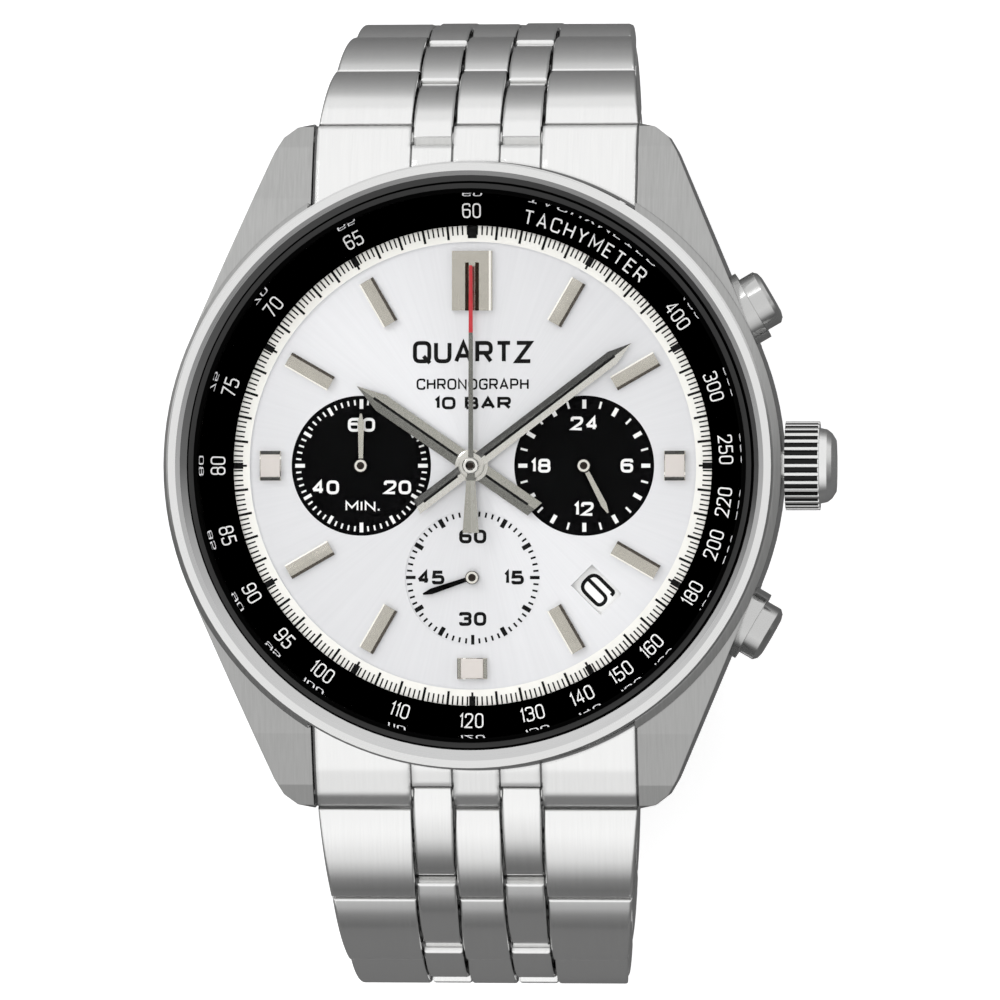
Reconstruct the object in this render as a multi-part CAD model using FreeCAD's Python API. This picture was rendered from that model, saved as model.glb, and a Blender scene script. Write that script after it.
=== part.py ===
import FreeCAD, Part
import math
import os

# A steel chronograph wristwatch on a folding-clasp bracelet, in millimetres.
# +Z points out of the dial, +Y to 12 o'clock and +X to 3 o'clock. The origin is the
# centre of the case back's outer face, which rests on the wrist.

os.makedirs("parts", exist_ok=True)

Vec = FreeCAD.Vector
ORIGIN = Vec(0, 0, 0)
X_AXIS = Vec(1, 0, 0)
Y_AXIS = Vec(0, 1, 0)
Z_AXIS = Vec(0, 0, 1)

# ---- case ----
CASE_R = 20.75
CASE_WALL_R = 20.3  # the case wall between the lugs
CASE_BOTTOM_Z = 0.7
CASE_TOP_Z = 9.2
BORE_R = 17.3
BACK_R = 18.0
BACK_PLATE_Z = 1.3
LUG_INNER_X = 11.0
LUG_TANGENT = (19.1, 8.07)
LUG_BOTTOM_Z = 1.0
FIT = 0.05  # radial clearance of a running fit

# ---- bezel, crystal and the rings under it ----
BEZEL_R = 20.3
BEZEL_TOP_Z = 11.2
BEZEL_CHAMFER_R = 19.37
RING_SEAT_R = 18.5
GASKET_R = 18.85
GASKET_Z = (9.6, 10.75)
CRYSTAL_Z = (9.9, 11.0)
TRACK_R = (15.0, 16.1)
RING_FLOOR_Z = 8.0

# ---- dial ----
DIAL_R = 17.2
DIAL_Z = (7.4, 7.8)
SUBDIAL_OFFSET = 7.5
SUBDIAL_R = 4.69
SECONDS_DIAL_R = 4.55
SUBDIAL_DEPTH = 0.12
WINDOW_R = 11.75
WINDOW_SIZE = (2.8, 2.0)
WINDOW_ANGLE = 135.0
MARKER_TOP_Z = 8.3

# ---- hands: tip length, tail length, half width ----
HOUR_HAND = (9.4, 5.3, 0.62)
MINUTE_HAND = (13.5, 4.7, 0.5)
# clockwise angles from 12 o'clock that the hands rest at
HOUR_ANGLE = 304.6
MINUTE_ANGLE = 52.7
SECONDS_ANGLE = 251.4
ANGLE_24H = 152.8
ARBOR_R = 0.2

# ---- movement ----
PLATE_R = 15.0
PLATE_Z = (5.9, 7.4)
POCKET_Z = 6.3
DATE_DISC_R = (9.8, 13.4)
DATE_DISC_Z = (7.1, 7.3)
BRIDGE_Z = (2.9, 3.4)
BRIDGE_R = 14.5
BOARD_Z = (2.6, 2.9)
HOLDER_Z = (2.0, 7.4)
PILLAR_R = 0.9
PILLAR_CIRCLE_R = 13.0
PILLAR_ANGLES = (75, 165, 235, 320)
SCREW_R = 0.5
BATTERY_XY = (-4.6, 8.2)
BATTERY_R = 4.75
BATTERY_Z = (1.5, 4.2)
ROTOR_ANGLE = -20.0

# ---- gears: teeth and module ----
FINE = 0.1
COUNTER = 0.121
CENTER_TEETH = 75
THIRD_TEETH = (10, 64)
FOURTH_TEETH = (8, 60)
ROTOR_TEETH = 8
CHRONO_TEETH = 8
INTERMEDIATE_TEETH = (60, 8)
CHRONO_MINUTE_TEETH = 64
CANNON_TEETH = 12
CANNON_MODULE = 0.125
MINUTE_WHEEL_TEETH = (36, 10)
HOUR_MODULE = 0.12
HOUR_WHEEL_TEETH = 40
WHEEL_24H_TEETH = 80

# ---- crown and pushers ----
STEM_Z = 5.0
STEM_R = 0.6
STEM_X = (10.6, 23.6)
GROOVE_X = (11.95, 12.45)
CROWN_R = 3.0
CROWN_X = (20.9, 23.2, 24.3)
CROWN_TUBE_R = 1.1
PUSHER_Z = 5.1
PUSHER_ANGLE = 30.0
PUSHER_R = 1.95
PUSHER_CUP_R = 2.45
PUSHER_STEM_R = 0.6
PUSHER_FLOOR_R = 20.15
PUSHER_RIM_R = 21.6
PUSHER_CAP_R = (21.1, 23.0)
PUSHER_TUBE_R = 1.25

# ---- bracelet ----
PITCH = 7.0
PIVOT_BACK = 0.85  # the hinge lies this far inside the previous row
NOSE = 1.7  # the middle pieces start this far before the outer ones
PIVOT_START = (22.0, 3.4)
LINK_TOP = 0.85
LINK_CROWN = 1.45
LINK_BOTTOM = -1.3
END_GAP = 0.1
UNDERCUT = 0.52
PIN_R = 0.5
SPRING_BAR_R = 0.65
CENTER_HALF = 1.55
MIDDLE_X = (1.68, 4.33)
OUTER_X = 4.46
END_LINK_SLOPE = 24.0
ROWS_12 = (56, 67, 81, 90.6, 125.3, 143)
ROWS_6 = (27, 50, 73, 103.5, 125.9, 150)
HALF_WIDTHS = (10.85, 10.25, 9.6, 9.15, 9.0, 9.0, 9.0)

# ---- clasp ----
CLASP_R = 60.0  # radius of the arc through the two bracelet pivots
COVER_R = (60.55, 61.55)
COVER_HALF = 9.0
COVER_WALL = 1.0
COVER_WALL_R = 58.75
INNER_BLADE_R = (59.45, 60.15)
OUTER_BLADE_R = (58.35, 58.95)
COVER_HINGE = (-17.5, 59.55)  # angle on the arc and radius
BLADE_HINGE = (14.0, 59.4)
KNUCKLE_R = 0.9
BUTTON_HALF = (2.5, 0.65)


def polygon_face(points):
    return Part.Face(Part.makePolygon(points + [points[0]]))


def revolved(profile):
    """A solid of revolution about Z from (radius, z) points."""
    face = polygon_face([Vec(r, 0, z) for r, z in profile])
    return face.revolve(ORIGIN, Z_AXIS, 360)


def prism_z(points, low, high):
    face = polygon_face([Vec(x, y, low) for x, y in points])
    return face.extrude(Vec(0, 0, high - low))


def prism_x(points, low, high):
    face = polygon_face([Vec(low, y, z) for y, z in points])
    return face.extrude(Vec(high - low, 0, 0))


def block(low, high):
    size = [b - a for a, b in zip(low, high)]
    return Part.makeBox(*size, Vec(*low))


def disc(radius, low, high, x=0.0, y=0.0):
    return Part.makeCylinder(radius, high - low, Vec(x, y, low), Z_AXIS)


def rod_x(radius, low, high, y=0.0, z=0.0):
    return Part.makeCylinder(radius, high - low, Vec(low, y, z), X_AXIS)


def ring(inner, outer, low, high, x=0.0, y=0.0):
    return disc(outer, low, high, x, y).cut(disc(inner, low - 1, high + 1, x, y))


def turned(shape, degrees):
    """The shape turned about Z, counterclockwise seen from the dial side."""
    moved = shape.copy()
    moved.rotate(ORIGIN, Z_AXIS, degrees)
    return moved


def shifted(shape, x, y, z=0.0):
    moved = shape.copy()
    moved.translate(Vec(x, y, z))
    return moved


def mirrored(shape, axis):
    return shape.mirror(ORIGIN, axis)


def polar(radius, degrees):
    angle = math.radians(degrees)
    return radius * math.cos(angle), radius * math.sin(angle)


def save(name, *solids):
    shape = solids[0] if len(solids) == 1 else Part.makeCompound(list(solids))
    shape.exportStep(f"parts/{name}.step")


# ---------------------------------------------------------------- case
def mid_case():
    tangent_x, tangent_y = LUG_TANGENT
    quarter = [
        (tangent_x, tangent_y),
        (13.6, 21.1),
        (13.0, 22.15),
        (12.1, 22.85),
        (LUG_INNER_X, 23.1),
    ]
    half = quarter + [(-x, y) for x, y in reversed(quarter)]
    plan = half + [(-x, -y) for x, y in half]
    slope = [
        (0, 9.0),
        (10.0, 8.8),
        (14.0, 7.95),
        (18.0, 6.85),
        (21.5, 5.55),
        (22.9, 4.75),
        (23.2, 3.9),
        (22.9, 2.2),
        (21.9, 1.2),
        (20.0, LUG_BOTTOM_Z),
    ]
    side = slope + [(-y, z) for y, z in reversed(slope[1:])]
    lugs = prism_z(plan, 0, CASE_TOP_Z).common(prism_x(side, -CASE_R, CASE_R))
    body = revolved(
        [
            (0, CASE_BOTTOM_Z),
            (19.3, CASE_BOTTOM_Z),
            (CASE_R, 2.0),
            (CASE_R, 8.85),
            (CASE_WALL_R, CASE_TOP_Z),
            (0, CASE_TOP_Z),
        ]
    )
    case = body.fuse(lugs)
    wall = disc(CASE_WALL_R, 0, CASE_TOP_Z)
    between_lugs = block((-LUG_INNER_X, -24, 0), (LUG_INNER_X, 24, CASE_TOP_Z + 1))
    case = case.cut(between_lugs.cut(wall))
    case = case.cut(disc(BORE_R, 0, CASE_TOP_Z + 1))
    case = case.cut(disc(RING_SEAT_R, RING_FLOOR_Z, CASE_TOP_Z + 1))
    case = case.cut(disc(BACK_R + FIT, 0, BACK_PLATE_Z))
    case = case.cut(rod_x(CROWN_TUBE_R, BORE_R - 1, CASE_R + 1, 0, STEM_Z))
    for sign in (1, -1):
        hole = rod_x(PUSHER_TUBE_R, BORE_R - 1, CASE_R + 1, 0, PUSHER_Z)
        seat_x = PUSHER_FLOOR_R - 0.2
        seat = rod_x(PUSHER_CUP_R + FIT, seat_x, CASE_R + 2, 0, PUSHER_Z)
        case = case.cut(turned(hole.fuse(seat), sign * PUSHER_ANGLE))
        y, z = sign * PIVOT_START[0], PIVOT_START[1]
        tip_x = LUG_INNER_X + 1.3
        case = case.cut(rod_x(0.4, -tip_x, tip_x, y, z))
    return case.removeSplitter()


def bezel():
    return revolved(
        [
            (RING_SEAT_R, CASE_TOP_Z),
            (20.2, CASE_TOP_Z),
            (BEZEL_R, CASE_TOP_Z + 0.1),
            (BEZEL_R, BEZEL_TOP_Z - 0.12),
            (BEZEL_R - 0.12, BEZEL_TOP_Z),
            (BEZEL_CHAMFER_R, BEZEL_TOP_Z),
            (GASKET_R, GASKET_Z[1]),
            (GASKET_R, GASKET_Z[0]),
            (RING_SEAT_R, GASKET_Z[0]),
        ]
    )


def crystal():
    bottom, top = CRYSTAL_Z
    edge = 0.2
    return revolved(
        [
            (0, bottom),
            (RING_SEAT_R, bottom),
            (RING_SEAT_R, top - edge),
            (RING_SEAT_R - edge, top),
            (0, top),
        ]
    )


def case_back():
    back = revolved(
        [
            (0, 0),
            (16.9, 0),
            (BACK_R, 0.6),
            (BACK_R, BACK_PLATE_Z),
            (17.25, BACK_PLATE_Z),
            (17.25, 2.0),
            (16.0, 2.0),
            (16.0, BACK_PLATE_Z),
            (0, BACK_PLATE_Z),
        ]
    )
    groove = ring(13.6, 13.9, -1, 0.15)
    back = back.cut(groove)
    notch = block((14.9, -1.1, -1), (16.4, 1.1, 0.45))
    for step in range(6):
        back = back.cut(turned(notch, 30 + 60 * step))
    return back


def tachymeter_ring():
    inner = TRACK_R[1]
    outer = RING_SEAT_R - FIT
    return revolved(
        [
            (inner, RING_FLOOR_Z),
            (outer, RING_FLOOR_Z),
            (outer, CRYSTAL_Z[0] - 0.02),
            (18.3, CRYSTAL_Z[0] - 0.02),
            (17.9, 8.95),
            (inner, 8.35),
        ]
    )


def end_link():
    """The 12 o'clock end link; its far end carries the first row's hinge."""
    pivot_y, pivot_z = PIVOT_START
    slope = math.radians(END_LINK_SLOPE)
    along = (math.cos(slope), -math.sin(slope))
    normal = (math.sin(slope), math.cos(slope))

    def at(s, n):
        s += PIVOT_BACK
        y = pivot_y + s * along[0] + n * normal[0]
        return y, pivot_z + s * along[1] + n * normal[1]

    face_s = -END_GAP
    side = [
        (16.0, 6.9),
        at(-3.0, 1.22),
        at(-1.2, 1.17),
        at(face_s - 0.12, LINK_TOP + 0.05),
        at(face_s, LINK_TOP - 0.1),
        at(face_s, 0),
        at(face_s + LINK_BOTTOM * UNDERCUT, LINK_BOTTOM),
        (19.5, 1.6),
        (16.0, 1.6),
    ]
    half = LUG_INNER_X - FIT
    link = prism_x(side, -half, half).cut(disc(CASE_WALL_R + FIT, 0, CASE_TOP_Z))
    slot = [
        at(-NOSE - END_GAP, 4),
        at(-NOSE - END_GAP, 0),
        at(-NOSE - END_GAP + LINK_BOTTOM * UNDERCUT, LINK_BOTTOM),
        at(-NOSE - END_GAP - 1.2, -4),
        at(2, -4),
        at(2, 4),
    ]
    wide = MIDDLE_X[1] + 2 * FIT
    narrow = MIDDLE_X[0] - 2 * FIT
    for low, high in ((narrow, wide), (-wide, -narrow)):
        link = link.cut(prism_x(slot, low, high))
    # shallow lines that carry the bracelet's columns on towards the bezel
    for x in (narrow, wide, -narrow, -wide):
        groove = [at(-NOSE, 2.4), at(-NOSE, 1.05), at(-6, 1.05), at(-6, 2.4)]
        link = link.cut(prism_x(groove, x - 0.08, x + 0.08))
    return link.cut(rod_x(SPRING_BAR_R, -half, half, pivot_y, pivot_z))


def spring_bar():
    y, z = PIVOT_START
    half = LUG_INNER_X - FIT
    bar = rod_x(SPRING_BAR_R, -half, half, y, z)
    return bar.fuse(rod_x(0.4, -half - 1.1, half + 1.1, y, z))


# ---------------------------------------------------------------- dial
def window_cutter(low, high, grow=0.0):
    long_half = WINDOW_SIZE[0] / 2 + grow
    short_half = WINDOW_SIZE[1] / 2 + grow
    hole = block((-short_half, -long_half, low), (short_half, long_half, high))
    hole = shifted(hole, 0, WINDOW_R)
    return turned(hole, -WINDOW_ANGLE)


def dial():
    low, high = DIAL_Z
    plate = disc(DIAL_R, low, high)
    plate = plate.fuse(ring(TRACK_R[0], DIAL_R, high, RING_FLOOR_Z))
    floor = high - SUBDIAL_DEPTH
    for x, y, radius in (
        (-SUBDIAL_OFFSET, 0, SUBDIAL_R),
        (SUBDIAL_OFFSET, 0, SUBDIAL_R),
        (0, -SUBDIAL_OFFSET, SECONDS_DIAL_R),
    ):
        plate = plate.cut(disc(radius, floor, high + 1, x, y))
        plate = plate.cut(disc(ARBOR_R + 0.1, low - 1, high, x, y))
    plate = plate.cut(disc(0.85, low - 1, high + 1))
    return plate.cut(window_cutter(low - 1, high + 1))


def roofed(plan, low, eave, ridge):
    """A plate with its top folded along Y: plan points in XY, ridge on x = 0."""
    half = max(abs(x) for x, _ in plan)
    reach = [y for _, y in plan]
    outline = prism_z(plan, low, ridge + 1)
    section = [
        Vec(-half, min(reach), low),
        Vec(half, min(reach), low),
        Vec(half, min(reach), eave),
        Vec(0, min(reach), ridge),
        Vec(-half, min(reach), eave),
    ]
    roof = polygon_face(section).extrude(Vec(0, max(reach) - min(reach), 0))
    return outline.common(roof)


def hour_markers():
    low = DIAL_Z[1]
    baton = roofed(
        [(-0.53, 11.0), (0.53, 11.0), (0.53, 14.3), (-0.53, 14.3)],
        low,
        MARKER_TOP_Z - 0.12,
        MARKER_TOP_Z,
    )
    batons = [turned(baton, -30 * hour) for hour in (1, 2, 4, 5, 7, 8, 10, 11)]
    double = block((-1.35, 10.4, low), (1.35, 14.4, MARKER_TOP_Z))
    for x in (-0.34, 0.34):
        slot = block((x - 0.11, 10.3, MARKER_TOP_Z - 0.3), (x + 0.11, 13.5, 9))
        double = double.cut(slot)
    square = block((-1.0, 12.9, low), (1.0, 14.3, MARKER_TOP_Z))
    lume_pocket = block((-0.62, 13.1, MARKER_TOP_Z - 0.2), (0.62, 14.1, 9))
    squares = [turned(square.cut(lume_pocket), angle) for angle in (90, 180, 270)]
    return batons + [double] + squares


def centre_hand(size, low, bore, boss_r, boss_z):
    tip, tail, half = size
    plan = [
        (-half, -tail + half),
        (half, -tail),
        (half, tip - 3.2 * half),
        (0.0, tip),
        (-half, tip - 3.2 * half),
    ]
    blade = roofed(plan, low, low + 0.08, low + 0.2)
    boss = disc(boss_r, boss_z[0], boss_z[1])
    return blade.fuse(boss).cut(disc(bore, low - 1, boss_z[1] + 1))


def sub_hand(tip, half, x, y, angle):
    """A small hand that widens a little towards its point."""
    low = 8.0
    plan = [
        (-half * 0.7, 0),
        (half * 0.7, 0),
        (half, tip - 0.6),
        (half * 0.3, tip),
        (-half * 0.3, tip),
        (-half, tip - 0.6),
    ]
    blade = prism_z(plan, low, low + 0.12)
    boss = disc(0.45, 7.85, 8.35)
    hand = blade.fuse(boss).cut(disc(ARBOR_R, 7, 9))
    return shifted(turned(hand, -angle), x, y)


def chrono_seconds_hand():
    low = 9.25
    plan = [(-0.55, -4.5), (0.55, -4.5), (0.3, -1.0), (0.17, 0), (0.12, 13.4)]
    outline = plan + [(-x, y) for x, y in reversed(plan[2:])]
    blade = prism_z(outline, low, low + 0.12)
    boss = disc(0.55, low, 9.7)
    return blade.fuse(boss).cut(disc(ARBOR_R, 8, 10))


# ---------------------------------------------------------------- gears
def gear(teeth, module, low, high, phase=0.0):
    """A toothed disc on the Z axis, with one tooth centred at the phase angle."""
    pitch_r = teeth * module / 2
    root, tip = pitch_r - 1.1 * module, pitch_r + 0.8 * module
    step = 2 * math.pi / teeth
    points = []
    for k in range(teeth):
        middle = math.radians(phase) + k * step
        for radius, share in ((root, -0.27), (tip, -0.13), (tip, 0.13), (root, 0.27)):
            angle = middle + share * step
            points.append((radius * math.cos(angle), radius * math.sin(angle)))
    return prism_z(points, low, high)


def mating_phase(driver_teeth, driver_phase, direction, teeth):
    """The phase that puts a gap of the mating gear where the driver has a tooth."""
    share = ((direction - driver_phase) / (360 / driver_teeth)) % 1
    return direction + 180 - (0.5 - share) * 360 / teeth


def direction_to(start, end):
    return math.degrees(math.atan2(end[1] - start[1], end[0] - start[0]))


def meeting_point(first, first_distance, second, second_distance, side):
    """The point at the given distances from two others, on one side of their line."""
    gap = math.dist(first, second)
    along = (first_distance**2 - second_distance**2 + gap**2) / (2 * gap)
    across = side * math.sqrt(first_distance**2 - along**2)
    ux, uy = (second[0] - first[0]) / gap, (second[1] - first[1]) / gap
    return first[0] + along * ux - across * uy, first[1] + along * uy + across * ux


CENTRE = (0.0, 0.0)
SECONDS_AXIS = (0.0, -SUBDIAL_OFFSET)
MINUTES_AXIS = (-SUBDIAL_OFFSET, 0.0)
DAY_AXIS = (SUBDIAL_OFFSET, 0.0)
THIRD_AXIS = meeting_point(
    CENTRE,
    (CENTER_TEETH + THIRD_TEETH[0]) * FINE / 2,
    SECONDS_AXIS,
    (THIRD_TEETH[1] + FOURTH_TEETH[0]) * FINE / 2,
    1,
)
INTERMEDIATE_AXIS = meeting_point(
    CENTRE,
    (CHRONO_TEETH + INTERMEDIATE_TEETH[0]) * COUNTER / 2,
    MINUTES_AXIS,
    (INTERMEDIATE_TEETH[1] + CHRONO_MINUTE_TEETH) * COUNTER / 2,
    1,
)
MINUTE_WHEEL_AXIS = meeting_point(
    CENTRE,
    (CANNON_TEETH + MINUTE_WHEEL_TEETH[0]) * CANNON_MODULE / 2,
    DAY_AXIS,
    (MINUTE_WHEEL_TEETH[1] + WHEEL_24H_TEETH) * HOUR_MODULE / 2,
    1,
)
ROTOR_DISTANCE = (FOURTH_TEETH[1] + ROTOR_TEETH) * FINE / 2
ROTOR_SHIFT = polar(ROTOR_DISTANCE, ROTOR_ANGLE)
ROTOR_AXIS = (SECONDS_AXIS[0] + ROTOR_SHIFT[0], SECONDS_AXIS[1] + ROTOR_SHIFT[1])


def on_arbor(axis, low, high, *gears):
    """Gears fused with their arbor and moved to their axis."""
    whole = disc(ARBOR_R, low, high).fuse(list(gears))
    return shifted(whole, *axis)


def going_train():
    """Centre, third and fourth wheels and the rotor, in mesh at rest."""
    tube = ring(ARBOR_R + FIT, 0.45, 5.1, 9.1)
    wheel = gear(CENTER_TEETH, FINE, 5.3, 5.5).cut(disc(ARBOR_R + FIT, 5, 6))
    cannon = gear(CANNON_TEETH, CANNON_MODULE, 6.35, 6.6).cut(disc(0.45, 6, 7))
    save("center_wheel", tube.fuse(wheel), cannon)

    towards = direction_to(CENTRE, THIRD_AXIS)
    phase = mating_phase(CENTER_TEETH, 0, towards, THIRD_TEETH[0])
    pinion = gear(THIRD_TEETH[0], FINE, 5.15, 5.65, phase)
    wheel = gear(THIRD_TEETH[1], FINE, 4.7, 4.9, phase)
    save("third_wheel", on_arbor(THIRD_AXIS, 3.0, 6.2, pinion, wheel))

    towards = direction_to(THIRD_AXIS, SECONDS_AXIS)
    phase = mating_phase(THIRD_TEETH[1], phase, towards, FOURTH_TEETH[0])
    pinion = gear(FOURTH_TEETH[0], FINE, 4.55, 5.05, phase)
    wheel = gear(FOURTH_TEETH[1], FINE, 4.1, 4.3, phase)
    save("fourth_wheel", on_arbor(SECONDS_AXIS, 3.0, 8.3, pinion, wheel))

    phase = mating_phase(FOURTH_TEETH[1], phase, ROTOR_ANGLE, ROTOR_TEETH)
    pinion = gear(ROTOR_TEETH, FINE, 3.95, 4.45, phase)
    magnet = disc(0.8, 4.6, 5.4)
    save("rotor", on_arbor(ROTOR_AXIS, 3.0, 6.2, pinion, magnet))


def chronograph_train():
    """Chronograph seconds wheel, intermediate wheel and minute-counting wheel."""
    wheel = gear(60, FINE, 4.1, 4.3)
    pinion = gear(CHRONO_TEETH, COUNTER, 3.55, 4.0)
    save("chrono_wheel", on_arbor(CENTRE, 3.0, 9.5, wheel, pinion))

    towards = direction_to(CENTRE, INTERMEDIATE_AXIS)
    phase = mating_phase(CHRONO_TEETH, 0, towards, INTERMEDIATE_TEETH[0])
    wheel = gear(INTERMEDIATE_TEETH[0], COUNTER, 3.65, 3.85, phase)
    pinion = gear(INTERMEDIATE_TEETH[1], COUNTER, 4.4, 4.8, phase)
    save(
        "chrono_intermediate_wheel",
        on_arbor(INTERMEDIATE_AXIS, 3.0, 6.2, wheel, pinion),
    )

    towards = direction_to(INTERMEDIATE_AXIS, MINUTES_AXIS)
    phase = mating_phase(INTERMEDIATE_TEETH[1], phase, towards, CHRONO_MINUTE_TEETH)
    wheel = gear(CHRONO_MINUTE_TEETH, COUNTER, 4.5, 4.7, phase)
    save("chrono_minute_wheel", on_arbor(MINUTES_AXIS, 3.0, 8.3, wheel))


def motion_works():
    """Minute wheel, hour wheel and 24-hour wheel between main plate and dial."""
    towards = direction_to(CENTRE, MINUTE_WHEEL_AXIS)
    phase = mating_phase(CANNON_TEETH, 0, towards, MINUTE_WHEEL_TEETH[0])
    wheel = gear(MINUTE_WHEEL_TEETH[0], CANNON_MODULE, 6.4, 6.55, phase)
    pinion = gear(MINUTE_WHEEL_TEETH[1], HOUR_MODULE, 6.55, 6.9, phase)
    save("minute_wheel", on_arbor(MINUTE_WHEEL_AXIS, 6.1, 7.0, wheel, pinion))

    back = direction_to(MINUTE_WHEEL_AXIS, CENTRE)
    hour_phase = mating_phase(MINUTE_WHEEL_TEETH[1], phase, back, HOUR_WHEEL_TEETH)
    hour = gear(HOUR_WHEEL_TEETH, HOUR_MODULE, 6.67, 6.85, hour_phase)
    hour = hour.fuse(disc(0.8, 6.85, 8.5)).cut(disc(0.5, 6, 9))
    save("hour_wheel", hour)

    across = direction_to(MINUTE_WHEEL_AXIS, DAY_AXIS)
    day_phase = mating_phase(MINUTE_WHEEL_TEETH[1], phase, across, WHEEL_24H_TEETH)
    day = gear(WHEEL_24H_TEETH, HOUR_MODULE, 6.67, 6.85, day_phase)
    save("wheel_24h", on_arbor(DAY_AXIS, 6.1, 8.3, day))


# ---------------------------------------------------------------- movement
def pillar_points():
    return [polar(PILLAR_CIRCLE_R, angle) for angle in PILLAR_ANGLES]


def main_plate():
    low, high = PLATE_Z
    plate = disc(PLATE_R, low, high)
    channel = ring(DATE_DISC_R[0] - 0.1, DATE_DISC_R[1] + 0.1, 7.05, high + 1)
    plate = plate.cut(channel)
    for axis, radius in ((CENTRE, 2.7), (MINUTE_WHEEL_AXIS, 2.5), (DAY_AXIS, 5.1)):
        plate = plate.cut(disc(radius, POCKET_Z, high + 1, *axis))
    plate = plate.cut(disc(0.5, low - 1, high))
    for axis in (SECONDS_AXIS, MINUTES_AXIS):
        plate = plate.cut(disc(ARBOR_R + FIT, low - 1, high + 1, *axis))
    for axis in (THIRD_AXIS, INTERMEDIATE_AXIS, ROTOR_AXIS):
        plate = plate.cut(disc(ARBOR_R + FIT, low - 1, 6.25, *axis))
    for axis in (MINUTE_WHEEL_AXIS, DAY_AXIS):
        plate = plate.cut(disc(ARBOR_R + FIT, 6.05, high, *axis))
    for x, y in pillar_points():
        plate = plate.fuse(disc(PILLAR_R, BRIDGE_Z[1], low, x, y))
        plate = plate.cut(disc(SCREW_R, BRIDGE_Z[1], 5.4, x, y))
    return plate


def train_bridge():
    low, high = BRIDGE_Z
    bridge = disc(BRIDGE_R, low, high).cut(disc(BATTERY_R + 0.15, 0, 9, *BATTERY_XY))
    for axis in (
        CENTRE,
        THIRD_AXIS,
        SECONDS_AXIS,
        ROTOR_AXIS,
        INTERMEDIATE_AXIS,
        MINUTES_AXIS,
    ):
        bridge = bridge.cut(disc(ARBOR_R + FIT, low - 1, high + 1, *axis))
    for x, y in pillar_points():
        bridge = bridge.cut(disc(SCREW_R, low - 1, high + 1, x, y))
    return bridge


def circuit_board():
    low, high = BOARD_Z
    board = disc(14.3, low, high).cut(disc(BATTERY_R + 0.3, 0, 9, *BATTERY_XY))
    board = board.cut(disc(4.6, 0, 9))
    for x, y in pillar_points():
        board = board.cut(disc(SCREW_R, low - 1, high + 1, x, y))
    return board


def bridge_screw(x, y):
    head = disc(0.95, 2.2, BOARD_Z[0]).fuse(disc(SCREW_R, BOARD_Z[0], 5.3))
    slot = block((-1, -0.12, 2.1), (1, 0.12, 2.35))
    return shifted(head.cut(slot), x, y)


def stator():
    plate = block((-0.2, -12.7, 4.7), (6.6, -7.5, 5.0))
    plate = plate.cut(block((0.4, -11.9, 4), (6.0, -9.9, 6)))
    plate = plate.cut(block((-1, -9.0, 4), (0.6, -7, 6)))
    return plate.cut(disc(0.95, 4, 6, *ROTOR_AXIS))


def drive_coil():
    core = block((0, -12.7, 4.7), (6.5, -11.9, 5.0))
    return rod_x(1.0, 0.6, 5.8, -12.3, 4.85).cut(core)


def movement_holder():
    holder = ring(PLATE_R + FIT, BORE_R - FIT, *HOLDER_Z)
    holder = holder.cut(rod_x(0.75, 14, 18, 0, STEM_Z))
    for sign in (1, -1):
        hole = rod_x(0.8, 14, 18, 0, PUSHER_Z)
        holder = holder.cut(turned(hole, sign * PUSHER_ANGLE))
    return holder


# ---------------------------------------------------------------- crown and pushers
def crown():
    start, shoulder, end = CROWN_X
    flutes = 32
    points = []
    for k in range(flutes):
        for radius, share in ((2.86, -0.3), (CROWN_R, -0.16), (CROWN_R, 0.16), (2.86, 0.3)):
            points.append(polar(radius, (k + share) * 360 / flutes))
    rim = prism_z(points, start, shoulder)
    profile = [
        (0, shoulder),
        (2.55, shoulder),
        (2.45, shoulder + 0.5),
        (2.2, shoulder + 0.82),
        (1.75, end),
        (1.55, end),
        (1.35, end - 0.12),
        (0, end - 0.12),
    ]
    head = rim.fuse(revolved(profile))
    head.rotate(ORIGIN, Y_AXIS, 90)
    head.translate(Vec(0, 0, STEM_Z))
    head = head.cut(rod_x(CROWN_TUBE_R + 0.06, start - 1, 22.5, 0, STEM_Z))
    return head.cut(rod_x(STEM_R, 22.4, STEM_X[1], 0, STEM_Z))


def stem():
    rod = rod_x(STEM_R, *STEM_X, 0, STEM_Z)
    groove = rod_x(STEM_R + 1, *GROOVE_X, 0, STEM_Z)
    return rod.cut(groove.cut(rod_x(0.35, 11, 13, 0, STEM_Z)))


def setting_lever():
    fork = block((12.0, -1.3, 4.2), (12.4, 1.3, 5.85))
    return fork.cut(block((11, -0.4, 4), (13, 0.4, STEM_Z + 0.4)))


def crown_tube():
    return rod_x(CROWN_TUBE_R, BORE_R + FIT, 22.3, 0, STEM_Z).cut(
        rod_x(STEM_R + FIT, 17, 23, 0, STEM_Z)
    )


def pusher_tube():
    tube = rod_x(PUSHER_TUBE_R, BORE_R + FIT, PUSHER_FLOOR_R, 0, PUSHER_Z)
    tube = tube.fuse(
        rod_x(PUSHER_CUP_R, PUSHER_FLOOR_R - 0.2, PUSHER_RIM_R, 0, PUSHER_Z)
    )
    tube = tube.cut(rod_x(PUSHER_R + FIT, PUSHER_FLOOR_R, 23, 0, PUSHER_Z))
    return tube.cut(rod_x(PUSHER_STEM_R + FIT, 17, 23, 0, PUSHER_Z))


def pusher():
    start, end = PUSHER_CAP_R
    edge = 0.35
    profile = [
        Vec(start, 0, 0),
        Vec(start, PUSHER_R, 0),
        Vec(end - edge, PUSHER_R, 0),
        Vec(end - 0.1, PUSHER_R - 0.25, 0),
        Vec(end, PUSHER_R - 0.6, 0),
        Vec(end, 0, 0),
    ]
    cap = polygon_face(profile).revolve(ORIGIN, X_AXIS, 360)
    rod = rod_x(PUSHER_STEM_R, 15.6, start + 0.5)
    return shifted(cap.fuse(rod), 0, 0, PUSHER_Z)


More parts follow.
